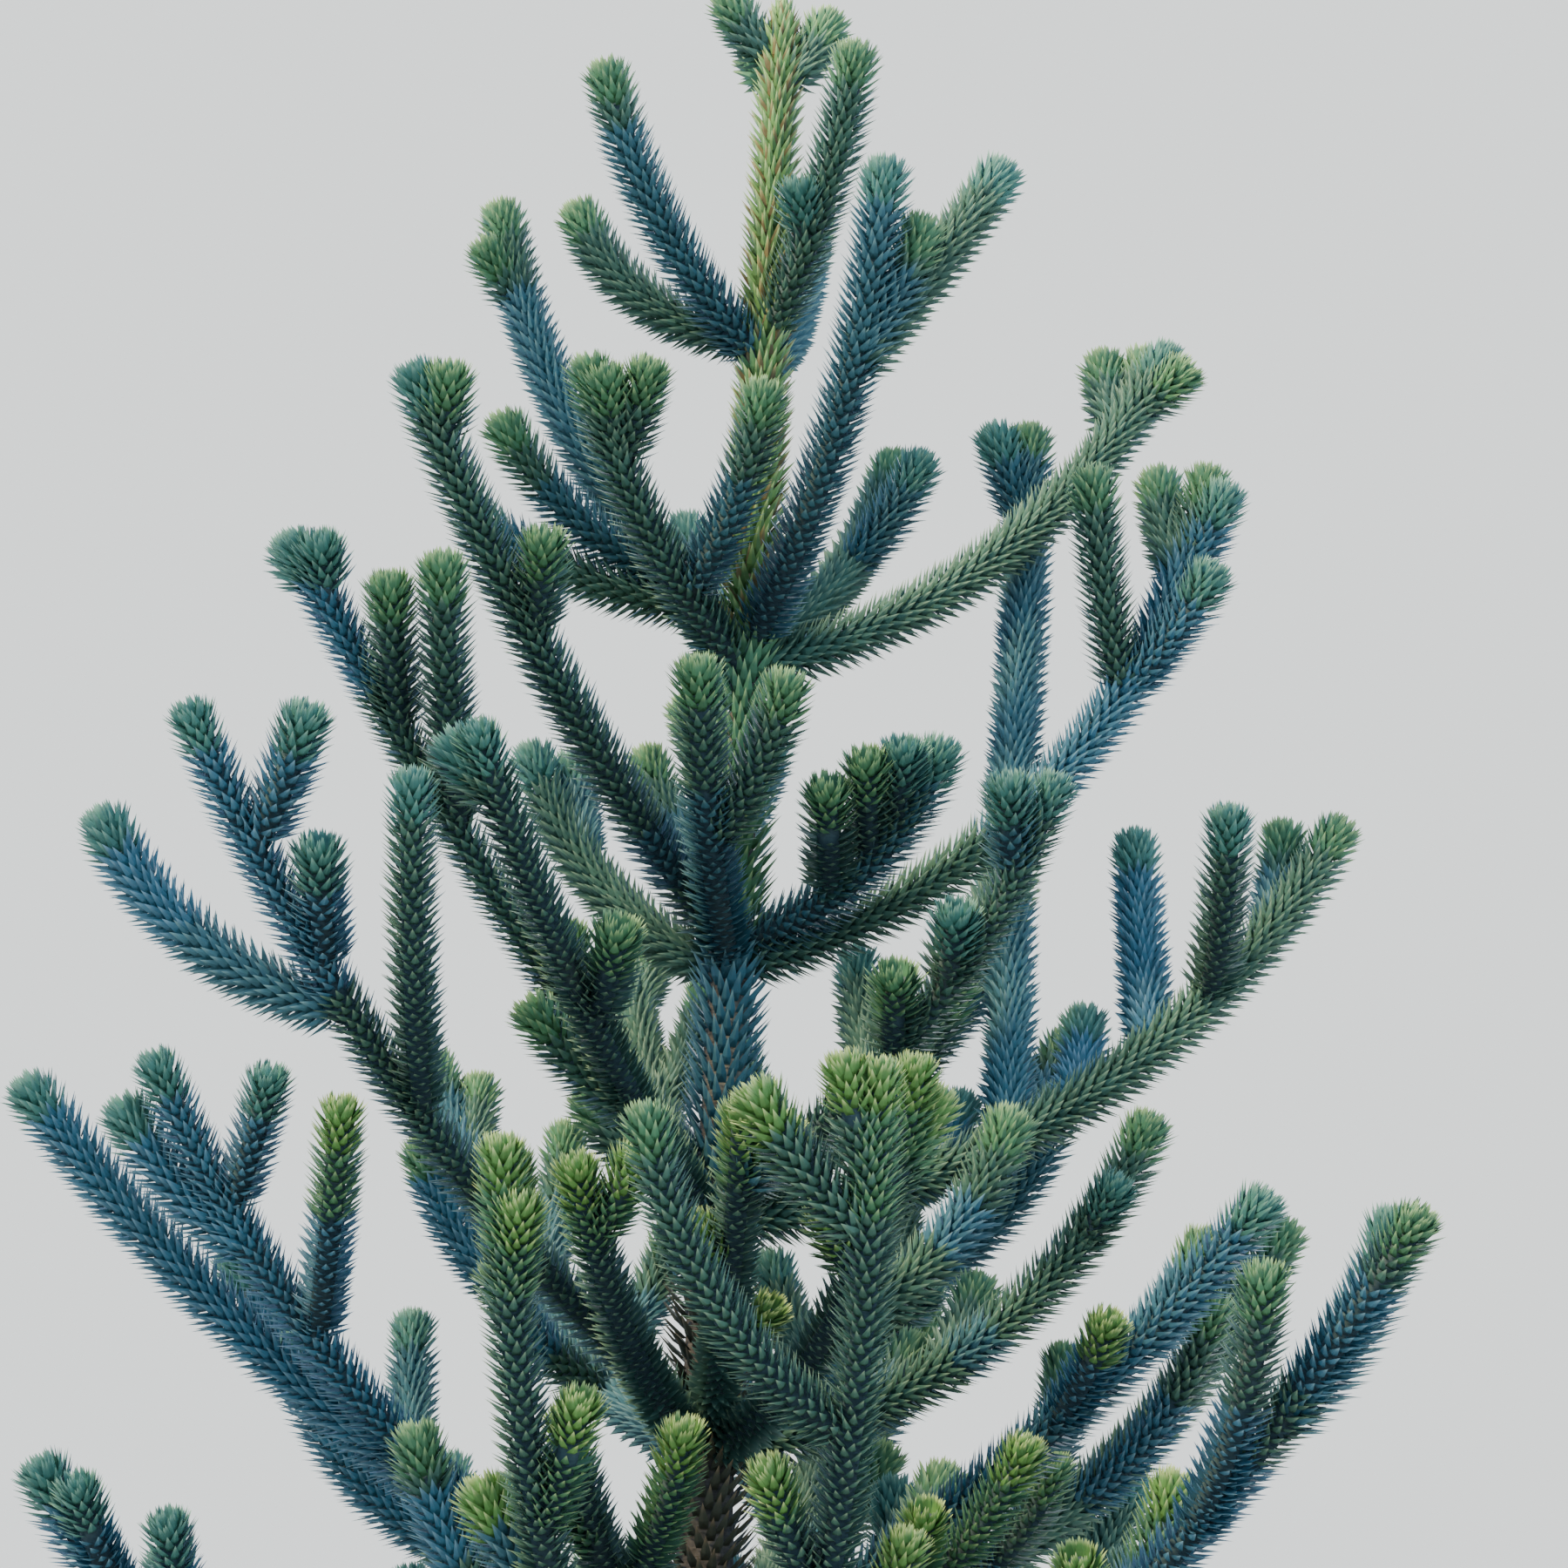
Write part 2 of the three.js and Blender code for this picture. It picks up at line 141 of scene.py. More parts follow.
@dataclass(frozen=True)
class Arm:
    """One arm of a ring: its compass angle, length, rise at the root and at the tip, and its shoots."""

    compass: float
    length: float
    rise_from: float
    rise_to: float
    shoots: tuple[Shoot, ...] = ()


@dataclass(frozen=True)
class RingPlan:
    """One ring of arms at a height on the trunk."""

    height: float
    arms: tuple[Arm, ...]


def arm(compass: float, length: float, rise_from: float, rise_to: float, *shoots: Shoot) -> Arm:
    """Returns an arm that carries the given shoots."""
    return Arm(compass, length, rise_from, rise_to, shoots)


def full_arm(compass: float, length: float, rise_from: float, rise_to: float, tip_turn: float) -> Arm:
    """Plans an arm with the shoots that old arms carry: a long pair, and a short one near the tip.

    Args:
        compass: The arm's compass angle.
        length: Its length.
        rise_from: Its rise at the root.
        rise_to: Its rise at the tip.
        tip_turn: The turn of the shoot near its tip.

    Returns:
        The arm with its three shoots.
    """
    pair = [Shoot(at, turn, length * share) for at, turn, share in FULL_ARM_PAIR]
    tip_at, tip_share = FULL_ARM_TIP
    return Arm(compass, length, rise_from, rise_to, (*pair, Shoot(tip_at, tip_turn, length * tip_share)))


def ring(height: float, *arms: Arm) -> RingPlan:
    """Returns a ring of the given arms."""
    return RingPlan(height, arms)


def even_ring(height: float, length: float, rise_from: float, rise_to: float, *compasses: float) -> RingPlan:
    """Plans a ring of alike full arms, with tip shoots to either side by turns.

    Args:
        height: The ring's height on the trunk.
        length: The length of each arm.
        rise_from: The rise at each root.
        rise_to: The rise at each tip.
        *compasses: The compass angle of each arm.

    Returns:
        The ring.
    """
    turns = [FULL_ARM_TIP_TURN * (-1) ** index for index in range(len(compasses))]
    arms = [full_arm(at, length, rise_from, rise_to, turn) for at, turn in zip(compasses, turns)]
    return RingPlan(height, tuple(arms))


RINGS = (
    ring(3.330, arm(22, 0.130, 45, 74), arm(168, 0.125, 45, 74), arm(124, 0.090, 40, 72)),
    ring(
        2.990,
        arm(75, 0.370, 34, 74),
        arm(165, 0.315, 10, 74),
        arm(213, 0.385, 36, 78),
        arm(311, 0.350, 48, 80, Shoot(0.3, -50, 0.090)),
    ),
    ring(
        2.630,
        arm(
            14, 0.680, 18, 64,
            Shoot(0.8, 90, 0.140, None, 84),
            Shoot(0.82, 50, 0.140),
            Shoot(0.84, -30, 0.100, 30, 45),
        ),
        arm(52, 0.425, 28, 70, Shoot(0.5, -60, 0.180)),
        arm(105, 0.420, 22, 66, Shoot(0.6, 40, 0.130), Shoot(0.64, -40, 0.120)),
        arm(
            160, 0.670, 45, 80,
            Shoot(0.16, 35, 0.290, 18, 66),
            Shoot(0.78, 40, 0.100, 45, 70),
            Shoot(0.1, 20, 0.300, 8, 40),
        ),
        arm(225, 0.390, 31, 74, Shoot(0.26, 84, 0.260), Shoot(0.66, 80, 0.130), Shoot(0.66, 30, 0.120)),
        arm(298, 0.560, 32, 80, Shoot(0.58, 78, 0.325, None, 58), Shoot(0.6, 50, 0.185)),
    ),
    ring(
        2.300,
        arm(
            3, 0.825, 16, 80,
            Shoot(0.4, 70, 0.555, 64, 82, (Shoot(0.74, 110, 0.140),)),
            Shoot(0.64, -120, 0.260, 62, 86),
            Shoot(0.64, -35, 0.185, 38, 58),
            Shoot(0.82, 100, 0.170),
            Shoot(0.82, -30, 0.130, 50, 72),
        ),
        full_arm(95, 0.640, 22, 66, 30),
        arm(147, 0.410, 22, 74, Shoot(0.58, -45, 0.180)),
        arm(226, 0.700, 38, 61, Shoot(0.86, 55, 0.095, None, 72), Shoot(0.55, 55, 0.130)),
        arm(262, 0.365, 31, 74, Shoot(0.42, 60, 0.210)),
        arm(337, 0.330, 10, 72, Shoot(0.5, -70, 0.145), Shoot(0.62, -60, 0.120), Shoot(0.34, -70, 0.160)),
    ),
    ring(
        2.030,
        arm(
            12, 0.880, 8, 60,
            Shoot(0.36, 70, 0.420, 50, 80),
            Shoot(0.46, 65, 0.170, None, 80),
            Shoot(0.58, 75, 0.320, 50, 80),
            Shoot(0.68, -95, 0.240),
            Shoot(0.8, 50, 0.175, None, 84),
        ),
        full_arm(55, 0.780, 18, 62, -35),
        full_arm(104, 0.700, 18, 62, -35),
        arm(
            211, 0.815, 47, 58,
            Shoot(0.56, 55, 0.310),
            Shoot(0.7, 55, 0.180),
            Shoot(0.88, 50, 0.090),
            Shoot(0.9, -45, 0.085),
        ),
        arm(
            241, 0.630, 31, 56,
            Shoot(0.84, -55, 0.100),
            Shoot(0.45, 50, 0.130),
            Shoot(0.25, -50, 0.180, None, 58),
        ),
        arm(332, 0.580, 26, 68, Shoot(0.78, -70, 0.120), Shoot(0.4, -60, 0.120)),
    ),
    ring(
        1.800,
        arm(5, 0.610, 8, 68, Shoot(0.4, 60, 0.160), Shoot(0.7, -40, 0.110)),
        full_arm(50, 0.840, 16, 60, 35),
        full_arm(122, 0.860, 16, 60, -35),
        arm(
            220, 0.915, 32, 60,
            Shoot(0.48, 50, 0.370, None, 82),
            Shoot(0.62, -50, 0.360, 14, 64),
            Shoot(0.67, 50, 0.150),
            Shoot(0.82, 95, 0.160),
        ),
        arm(246, 0.410, 18, 68),
        arm(277, 0.440, 20, 65),
        arm(304, 0.535, 13, 78, Shoot(0.42, 72, 0.320, 24, 76)),
    ),
    ring(
        1.560,
        full_arm(25, 0.900, 14, 58, 35),
        full_arm(75, 0.900, 14, 58, -35),
        full_arm(140, 0.920, 14, 58, 35),
        arm(
            205, 0.840, 26, 65,
            Shoot(0.34, -27, 0.640, None, 52),
            Shoot(0.6, 80, 0.280),
            Shoot(0.78, 100, 0.215),
            Shoot(0.72, -25, 0.220, 34, 62),
        ),
        arm(246, 0.420, 16, 70, Shoot(0.45, 55, 0.220), Shoot(0.6, -35, 0.120)),
        arm(346, 0.740, 28, 50, Shoot(0.55, -40, 0.160), Shoot(0.7, 40, 0.170)),
        arm(332, 0.450, 8, 64, Shoot(0.6, 40, 0.110), Shoot(0.5, -50, 0.150)),
    ),
    ring(
        1.290,
        full_arm(50, 0.960, 12, 56, 35),
        full_arm(115, 0.960, 12, 56, -35),
        arm(200, 0.840, 15, 60, Shoot(0.5, -40, 0.300), Shoot(0.6, 45, 0.260), Shoot(0.8, 40, 0.150)),
        arm(251, 0.930, 28, 84, Shoot(0.34, -80, 0.370), Shoot(0.82, 35, 0.120)),
        arm(
            288, 1.020, 30, 86,
            Shoot(0.66, -84, 0.370, 28, 84),
            Shoot(0.83, -95, 0.185, 42, 62),
            Shoot(0.86, -60, 0.150),
            Shoot(0.34, 50, 0.250),
        ),
        arm(321, 1.060, 27, 52, Shoot(0.64, -28, 0.290), Shoot(0.4, 50, 0.300), Shoot(0.76, 32, 0.240)),
    ),
    even_ring(1.000, 0.950, 8, 52, 20, 92, 163, 236, 308),
    even_ring(0.700, 0.880, 2, 46, 50, 130, 210, 300),
)


@dataclass(frozen=True)
class TrunkForm:
    """The trunk's line and thickness, which its neighbours ask for too."""

    height: float = 3.425
    foot_radius: float = 0.046
    tip_radius: float = 0.004
    taper_power: float = 0.85
    flare_width: float = 0.022
    flare_height: float = 0.075
    lean_low: float = 0.01
    lean_high: float = 0.05
    lean_change_height: float = 1.900

    def centre(self, height: float) -> np.ndarray:
        """Returns the trunk's centre at a height: nearly upright below, leaning to the right above."""
        above = max(0.0, height - self.lean_change_height)
        return np.array([self.lean_low * height + (self.lean_high - self.lean_low) * above, 0.0, height])

    def radius(self, height: float) -> float:
        """Works out the trunk's thickness: an even taper, and a flare where the roots begin.

        Args:
            height: The height above the ground.

        Returns:
            The trunk's radius there.
        """
        left = max(0.0, 1 - height / self.height)
        taper = self.tip_radius + (self.foot_radius - self.tip_radius) * left**self.taper_power
        return taper + self.flare_width * math.exp(-height / self.flare_height)


TRUNK = TrunkForm()


def level_way(compass: float) -> np.ndarray:
    """Returns the level unit direction of a compass angle."""
    return np.array([math.cos(math.radians(compass)), math.sin(math.radians(compass)), 0.0])


def step_count(length: float) -> int:
    """Returns how many steps a line of this length is walked in, at least two."""
    return max(2, math.floor(length / WALK_STEP + 0.5))


@dataclass
class Stem:
    """A grown stem: its line, root to tip, and the arm or sleeve that owns it."""

    points: np.ndarray
    length: float
    compass: float
    rise_from: float
    rise_to: float
    owner: str
    reach: float = LEAF_REACH
    is_shoot: bool = False

    def at(self, distance: float) -> np.ndarray:
        """Finds a point of the stem.

        Args:
            distance: The distance from the stem's root.

        Returns:
            The point.
        """
        last = len(self.points) - 1
        place = min(max(distance / self.length * last, 0.0), last - HAIR)
        index = int(place)
        return self.points[index] + (self.points[index + 1] - self.points[index]) * (place - index)


def walk_stem(root: np.ndarray, compass: float, length: float, rise_from: float, rise_to: float) -> np.ndarray:
    """Walks a stem from its root: the heading stays, and the rise changes evenly from root to tip.

    Args:
        root: The stem's first point.
        compass: The heading in plan.
        length: The length along the stem.
        rise_from: The rise at the root.
        rise_to: The rise at the tip.

    Returns:
        The points of the line, one row each.
    """
    steps = step_count(length)
    rises = np.radians(rise_from + (rise_to - rise_from) * (np.arange(steps) + 0.5) / steps)
    ways = np.outer(np.cos(rises), level_way(compass)) + np.outer(np.sin(rises), UP)
    return np.vstack([root, root + np.cumsum(ways * (length / steps), axis=0)])


class Skeleton:
    """All stems of the tree. The main stems are placed first, then the shoots grow in the room left."""

    def __init__(self) -> None:
        """Grows every stem."""
        self.stems: list[Stem] = []
        planned: list[tuple[Stem, Arm]] = []
        for ring_index, plan in enumerate(RINGS):
            for arm_index, form in enumerate(plan.arms):
                stem = self._main_stem(f"arm_{ring_index + 1}_{arm_index + 1}", plan.height, arm_index, form)
                planned.append((stem, form))
                self.stems.append(stem)
        self.sleeves = [self._sleeve(index) for index in range(SLEEVE_COUNT)]
        self.stems += self.sleeves
        for stem, form in planned:
            for shoot in form.shoots:
                self._grow(stem, shoot)
        for stem, form in planned:
            if stem.points[0][2] < TWIGS_BELOW:
                self._twigs(stem)

    def of_ring(self, number: int) -> list[Stem]:
        """Returns the stems of the arms of one ring, counted from 1 at the top."""
        return [stem for stem in self.stems if stem.owner.startswith(f"arm_{number}_")]

    def _main_stem(self, name: str, ring_height: float, arm_index: int, form: Arm) -> Stem:
        """Places the main stem of an arm, with its root inside the trunk.

        Args:
            name: The arm's name.
            ring_height: The height of its ring.
            arm_index: Its place in the ring, which sets it a little above or below the ring's height.
            form: The arm's plan.

        Returns:
            The stem.
        """
        height = ring_height + (RING_STAGGER if arm_index % 2 else -RING_STAGGER)
        inset = TRUNK.radius(height) * ARM_ROOT_DEPTH
        root = TRUNK.centre(height) + level_way(form.compass) * inset
        points = walk_stem(root, form.compass, form.length, form.rise_from, form.rise_to)
        return Stem(points, form.length, form.compass, form.rise_from, form.rise_to, name)

    def _sleeve(self, index: int) -> Stem:
        """Places the stretch of the trunk between two rings that wears leaves.

        Args:
            index: Its number from the top, counted from 0.

        Returns:
            The stretch, as an upright stem.
        """
        low = RINGS[index].height + SLEEVE_ABOVE_RING
        if index:
            high = RINGS[index - 1].height - SLEEVE_BELOW_RING
        else:
            high = TRUNK.height + LEADER_TIP_ABOVE_TRUNK
        steps = step_count(high - low)
        points = np.array([TRUNK.centre(low + (high - low) * step / steps) for step in range(steps + 1)])
        reach = TRUNK.radius((low + high) / 2) + SLEEVE_THICKNESS + SLEEVE_LEAF_STAND
        return Stem(points, high - low, 0.0, UPRIGHT, UPRIGHT, f"leader_{index + 1}", reach)

    def _twigs(self, parent: Stem) -> None:
        """Grows short twigs off an arm, by turns to its left and right, where there is room for them.

        Arms at the back and on the lowest rings get many twigs, and arms in front above them get few.

        Args:
            parent: The arm's main stem.
        """
        rng = random.Random(f"{SEED} {parent.owner}")
        is_full = parent.points[0][2] < FULL_TWIGS_BELOW or level_way(parent.compass)[1] > 0
        places, lengths = (TWIG_PLACES, TWIG_LENGTHS) if is_full else (FRONT_TWIG_PLACES, FRONT_TWIG_LENGTHS)
        for number, at in enumerate(places):
            turn = rng.uniform(*TWIG_TURNS) * (-1) ** number
            self._grow(parent, Shoot(at, turn, rng.uniform(*lengths)), is_twig=True)

    def _is_clear(self, point: np.ndarray, owner: str, space: float) -> bool:
        """Tells whether a point keeps a space from the reach of every stem of other owners.

        Args:
            point: The point.
            owner: The arm that the point belongs to, whose own stems don't count.
            space: The space to keep.

        Returns:
            Whether the point is clear.
        """
        for stem in self.stems:
            if stem.owner == owner:
                continue
            starts = stem.points[:-CLEARANCE_STRIDE:CLEARANCE_STRIDE]
            ends = stem.points[CLEARANCE_STRIDE::CLEARANCE_STRIDE]
            ways = ends - starts
            shares = np.einsum("ij,ij->i", point - starts, ways) / np.einsum("ij,ij->i", ways, ways)
            nearest = starts + ways * np.clip(shares, 0, 1)[:, None]
            if np.linalg.norm(nearest - point, axis=1).min() <= space + stem.reach:
                return False
        return True

    def _is_open(self, point: np.ndarray, parent: Stem) -> bool:
        """Tells whether a twig's point keeps off the other stems of its own arm."""
        own = [stem for stem in self.stems if stem.owner == parent.owner and stem is not parent]
        return all(np.linalg.norm(stem.points - point, axis=1).min() > ARM_SPACING for stem in own)

    def _grow(self, parent: Stem, form: Shoot, is_twig: bool = False) -> None:
        """Grows a side shoot or twig, cut back to where it keeps clear of other stems, or left out.

        Args:
            parent: The stem that it grows from.
            form: The shoot's plan.
            is_twig: Whether it is a twig, which also keeps off the stems of its own arm.
        """
        point = parent.at(parent.length * form.at)
        rise_there = parent.rise_from + (parent.rise_to - parent.rise_from) * form.at
        rise_from = rise_there - SHOOT_DIP if form.rise_from is None else form.rise_from
        upturn = min(1.0, form.length / SHOOT_UPTURN_LENGTH)
        rise_to = rise_from + (SHOOT_END_RISE - rise_from) * upturn if form.rise_to is None else form.rise_to
        compass = parent.compass + form.turn
        points = walk_stem(point, compass, form.length, rise_from, rise_to)
        room = ARM_SPACING - LEAF_REACH
        kept = len(points)
        for index, place in enumerate(points):
            if not self._is_clear(place, parent.owner, room) or is_twig and not self._is_open(place, parent):
                kept = index
                break
        share = (kept - 1) / (len(points) - 1)
        length = form.length * share
        if length < SHOOT_SHORTEST:
            return
        rise_end = rise_from + (rise_to - rise_from) * share
        grown = Stem(points[:kept], length, compass, rise_from, rise_end, parent.owner, is_shoot=True)
        self.stems.append(grown)
        for own in form.shoots:
            self._grow(grown, own)


@dataclass(frozen=True)
class LeafShape:
    """A stiff scale of a leaf: broad low down, flat above, keeled below, curved up to a long sharp point."""

    base_half_width: float = 0.42
    middle_half_width: float = 0.47
    middle: float = 0.34
    keel_depth: float = 0.20
    curl: float = 0.28

    def build(self) -> bpy.types.Object:
        """Builds the unit leaf, 1 long and 1 wide, pointing up +Z with its upper face to -X.

        Returns:
            The leaf, which isn't linked to the scene.
        """
        bend = -self.curl * self.middle**2
        points = (
            (0.0, -self.base_half_width, 0.0),
            (0.0, self.base_half_width, 0.0),
            (bend, -self.middle_half_width, self.middle),
            (bend, self.middle_half_width, self.middle),
            (bend + self.keel_depth, 0.0, self.middle),
            (-self.curl, 0.0, 1.0),
        )
        upper_side = [(0, 1, 3, 2), (2, 3, 5)]
        keel_side = [(0, 2, 4), (0, 4, 1), (3, 1, 4), (5, 4, 2), (5, 3, 4)]
        mesh = bpy.data.meshes.new("leaf")
        mesh.from_pydata(points, [], upper_side + keel_side)
        body = bmesh.new()
        body.from_mesh(mesh)
        bmesh.ops.recalc_face_normals(body, faces=body.faces)
        body.to_mesh(mesh)
        body.free()
        along_values = np.array([vertex.co.z for vertex in mesh.vertices], dtype=np.float32)
        mesh.attributes.new("along", "FLOAT", "POINT").data.foreach_set("value", along_values)
        return bpy.data.objects.new("leaf", mesh)


class NodeTree:
    """A small helper that adds and links nodes of a geometry or shader tree."""

    def __init__(self, tree: bpy.types.NodeTree) -> None:
        """Wraps a tree."""
        self.tree = tree

    def sockets(self, way: str, **kinds: str | float) -> None:
        """Adds named sockets to the tree's interface.

        Args:
            way: INPUT or OUTPUT.
            **kinds: The kind of each socket, by its name with spaces as underscores. A number makes a socket
                for numbers of its type, with that default.
        """
        for name, kind in kinds.items():
            is_word = isinstance(kind, str)
            word = kind if is_word else "Int" if isinstance(kind, int) else "Float"
            spaced = name.replace("_", " ")
            made = self.tree.interface.new_socket(spaced, in_out=way, socket_type=f"NodeSocket{word}")
            if not is_word:
                made.default_value = kind

    def add(self, kind: str, settings: dict[str, object] | None = None, **values: object) -> bpy.types.Node:
        """Adds a node.

        Args:
            kind: The node's type name.
            settings: Properties of the node itself.
            **values: Input values or output sockets to link, by input name with spaces as underscores, or
                i0, i1 and so on for an input's index.

        Returns:
            The node.
        """
        node = self.tree.nodes.new(kind)
        for key, value in (settings or {}).items():
            setattr(node, key, value)
        for key, value in values.items():
            is_index = key[0] == "i" and key[1:].isdigit()
            socket = node.inputs[int(key[1:])] if is_index else node.inputs[key.replace("_", " ")]
            if isinstance(value, bpy.types.NodeSocket):
                self.tree.links.new(value, socket)
            else:
                socket.default_value = value
        return node

    def math(self, operation: str, first: object, second: object = 0.0) -> bpy.types.NodeSocket:
        """Returns the result of a math node."""
        return self.add("ShaderNodeMath", {"operation": operation}, i0=first, i1=second).outputs[0]

    def vector(self, x: object = 0.0, y: object = 0.0, z: object = 0.0) -> bpy.types.NodeSocket:
        """Returns a vector made of three values or sockets."""
        return self.add("ShaderNodeCombineXYZ", None, X=x, Y=y, Z=z).outputs[0]

    def named(self, name: str) -> bpy.types.NodeSocket:
        """Returns a float attribute of the geometry by its name."""
        return self.add("GeometryNodeInputNamedAttribute", {"data_type": "FLOAT"}, Name=name).outputs[0]

    def attribute(self, name: str) -> bpy.types.NodeSocket:
        """Returns an attribute in a shader by its name."""
        return self.add("ShaderNodeAttribute", {"attribute_name": name}).outputs["Fac"]

    def noise(self, place: object, scale: object, detail: float, **more: object) -> bpy.types.NodeSocket:
        """Returns a noise pattern."""
        return self.add("ShaderNodeTexNoise", None, Vector=place, Scale=scale, Detail=detail, **more).outputs["Fac"]

    def mix(self, factor: object, first: object, second: object) -> bpy.types.NodeSocket:
        """Returns the mix of two colours."""
        return self.add("ShaderNodeMix", {"data_type": "RGBA"}, i0=factor, i6=first, i7=second).outputs[2]

    def dress(self, geometry: object, material: object) -> None:
        """Ends a geometry tree: makes its instances real and gives them the material.

        Args:
            geometry: The geometry so far.
            material: The material's socket.
        """
        real = self.add("GeometryNodeRealizeInstances", None, Geometry=geometry).outputs[0]
        dressed = self.add("GeometryNodeSetMaterial", None, Geometry=real, Material=material).outputs[0]
        self.add("NodeGroupOutput", None, i0=dressed)


def new_tree(name: str, kind: str) -> NodeTree:
    """Returns the helper of a new node group of the given type."""
    return NodeTree(bpy.data.node_groups.new(name, kind))


@dataclass(frozen=True)
class LeafSprays:
    """Leaves set in a spiral along stems, each a little different in size, lean and turn."""

    size_spread: float = 0.08
    lean_spread: float = 0.07
    turn_spread: float = 0.05

    def tree(self) -> bpy.types.NodeTree:
        """Builds the geometry tree.

        Returns:
            The tree, which turns lines into the leaves along them.
        """
        nodes = new_tree("leaf sprays", "GeometryNodeTree")
        nodes.tree.is_modifier = True
        nodes.sockets("INPUT", Stems="Geometry", Leaf="Object", Material="Material")
        nodes.sockets("INPUT", Spacing="Float", Leaf_Length="Float", Leaf_Width="Float")
        nodes.sockets("INPUT", Size_Spread=self.size_spread, Lean_Spread=self.lean_spread)
        nodes.sockets("INPUT", Turn_Spread=self.turn_spread, Seed="Int")
        nodes.sockets("OUTPUT", Leaves="Geometry")
        given = nodes.add("NodeGroupInput").outputs
        curve = nodes.add("GeometryNodeMeshToCurve", None, Mesh=given["Stems"]).outputs[0]
        spread = nodes.add("GeometryNodeCurveToPoints", {"mode": "LENGTH"}, Curve=curve, Length=given["Spacing"])
        turn = nodes.math("MULTIPLY", nodes.add("GeometryNodeInputIndex").outputs[0], GOLDEN_ANGLE)
        turn = nodes.math("ADD", turn, self._random(nodes, given["Turn Spread"], given["Seed"], 1))
        facing = self._turned(nodes, spread.outputs["Rotation"], nodes.vector(z=turn))
        lean_offset = self._random(nodes, given["Lean Spread"], given["Seed"], 2)
        lean = nodes.math("ADD", nodes.named("lean"), lean_offset)
        stand = nodes.add(
            "FunctionNodeRotateVector", None, Vector=nodes.vector(x=nodes.named("stand")), Rotation=facing
        ).outputs[0]
        placed = nodes.add("GeometryNodeSetPosition", None, Geometry=spread.outputs["Points"], Offset=stand).outputs[0]
        size = nodes.math("ADD", 1.0, self._random(nodes, given["Size Spread"], given["Seed"], 3))
        size = nodes.math("MULTIPLY", size, nodes.named("size"))
        width = nodes.math("MULTIPLY", size, given["Leaf Width"])
        length = nodes.math("MULTIPLY", size, given["Leaf Length"])
        leaf = nodes.add("GeometryNodeObjectInfo", {"transform_space": "ORIGINAL"}, Object=given["Leaf"])
        leaves = nodes.add(
            "GeometryNodeInstanceOnPoints",
            None,
            Points=placed,
            Instance=leaf.outputs["Geometry"],
            Rotation=self._turned(nodes, facing, nodes.vector(y=lean)),
            Scale=nodes.vector(width, width, length),
        ).outputs[0]
        tone = nodes.add("FunctionNodeRandomValue", {"data_type": "FLOAT"}, Seed=given["Seed"]).outputs[1]
        toned = nodes.add(
            "GeometryNodeStoreNamedAttribute",
            {"data_type": "FLOAT", "domain": "INSTANCE"},
            Geometry=leaves,
            Name="tone",
            Value=tone,
        ).outputs[0]
        nodes.dress(toned, given["Material"])
        return nodes.tree

    @staticmethod
    def _turned(nodes: NodeTree, rotation: object, angles: object) -> bpy.types.NodeSocket:
        """Turns a rotation further, about its own axes.

        Args:
            nodes: The tree's helper.
            rotation: The rotation so far.
            angles: The turn about each axis.

        Returns:
            The new rotation.
        """
        more = nodes.add("FunctionNodeEulerToRotation", None, Euler=angles).outputs[0]
        turned = nodes.add(
            "FunctionNodeRotateRotation", {"rotation_space": "LOCAL"}, Rotation=rotation, Rotate_By=more
        )
        return turned.outputs[0]

    @staticmethod
    def _random(nodes: NodeTree, spread: object, seed: object, step: int) -> bpy.types.NodeSocket:
        """Draws a random value for each leaf.

        Args:
            nodes: The tree's helper.
            spread: The value runs from minus this to this.
            seed: The tree's seed.
            step: The step from the tree's seed to this value's own.

        Returns:
            The random value.
        """
        low = nodes.math("MULTIPLY", spread, -1.0)
        own_seed = nodes.math("ADD", seed, float(step))
        picked = nodes.add("FunctionNodeRandomValue", {"data_type": "FLOAT"}, i2=low, i3=spread, Seed=own_seed)
        return picked.outputs[1]


@dataclass(frozen=True)
class StemTubes:
    """The wood of stems: closed tubes that taper with the stand of their leaves."""

    sides: int = 7
    step: float = 0.020

    def tree(self) -> bpy.types.NodeTree:
        """Builds the geometry tree.

        Returns:
            The tree, which turns lines into tubes round them.
        """
        nodes = new_tree("stem tubes", "GeometryNodeTree")
        nodes.tree.is_modifier = True
        nodes.sockets("INPUT", Stems="Geometry", Material="Material", Sides=self.sides, Step=self.step)
        nodes.sockets("OUTPUT", Wood="Geometry")
        given = nodes.add("NodeGroupInput").outputs
        curve = nodes.add("GeometryNodeMeshToCurve", None, Mesh=given["Stems"]).outputs[0]
        even = nodes.add("GeometryNodeResampleCurve", {"mode": "LENGTH"}, Curve=curve, Length=given["Step"]).outputs[0]
        circle = nodes.add("GeometryNodeCurvePrimitiveCircle", None, Resolution=given["Sides"], Radius=1.0).outputs[0]
        tube = nodes.add(
            "GeometryNodeCurveToMesh",
            None,
            Curve=even,
            Profile_Curve=circle,
            Scale=nodes.named("stand"),
            Fill_Caps=True,
        ).outputs[0]
        nodes.dress(tube, given["Material"])
        return nodes.tree


def show(name: str, data: bpy.types.ID) -> bpy.types.Object:
    """Puts data into the scene.

    Args:
        name: The new object's name.
        data: The mesh, light or camera that it shows.

    Returns:
        The new object.
    """
    shown = bpy.data.objects.new(name, data)
    bpy.context.scene.collection.objects.link(shown)
    return shown


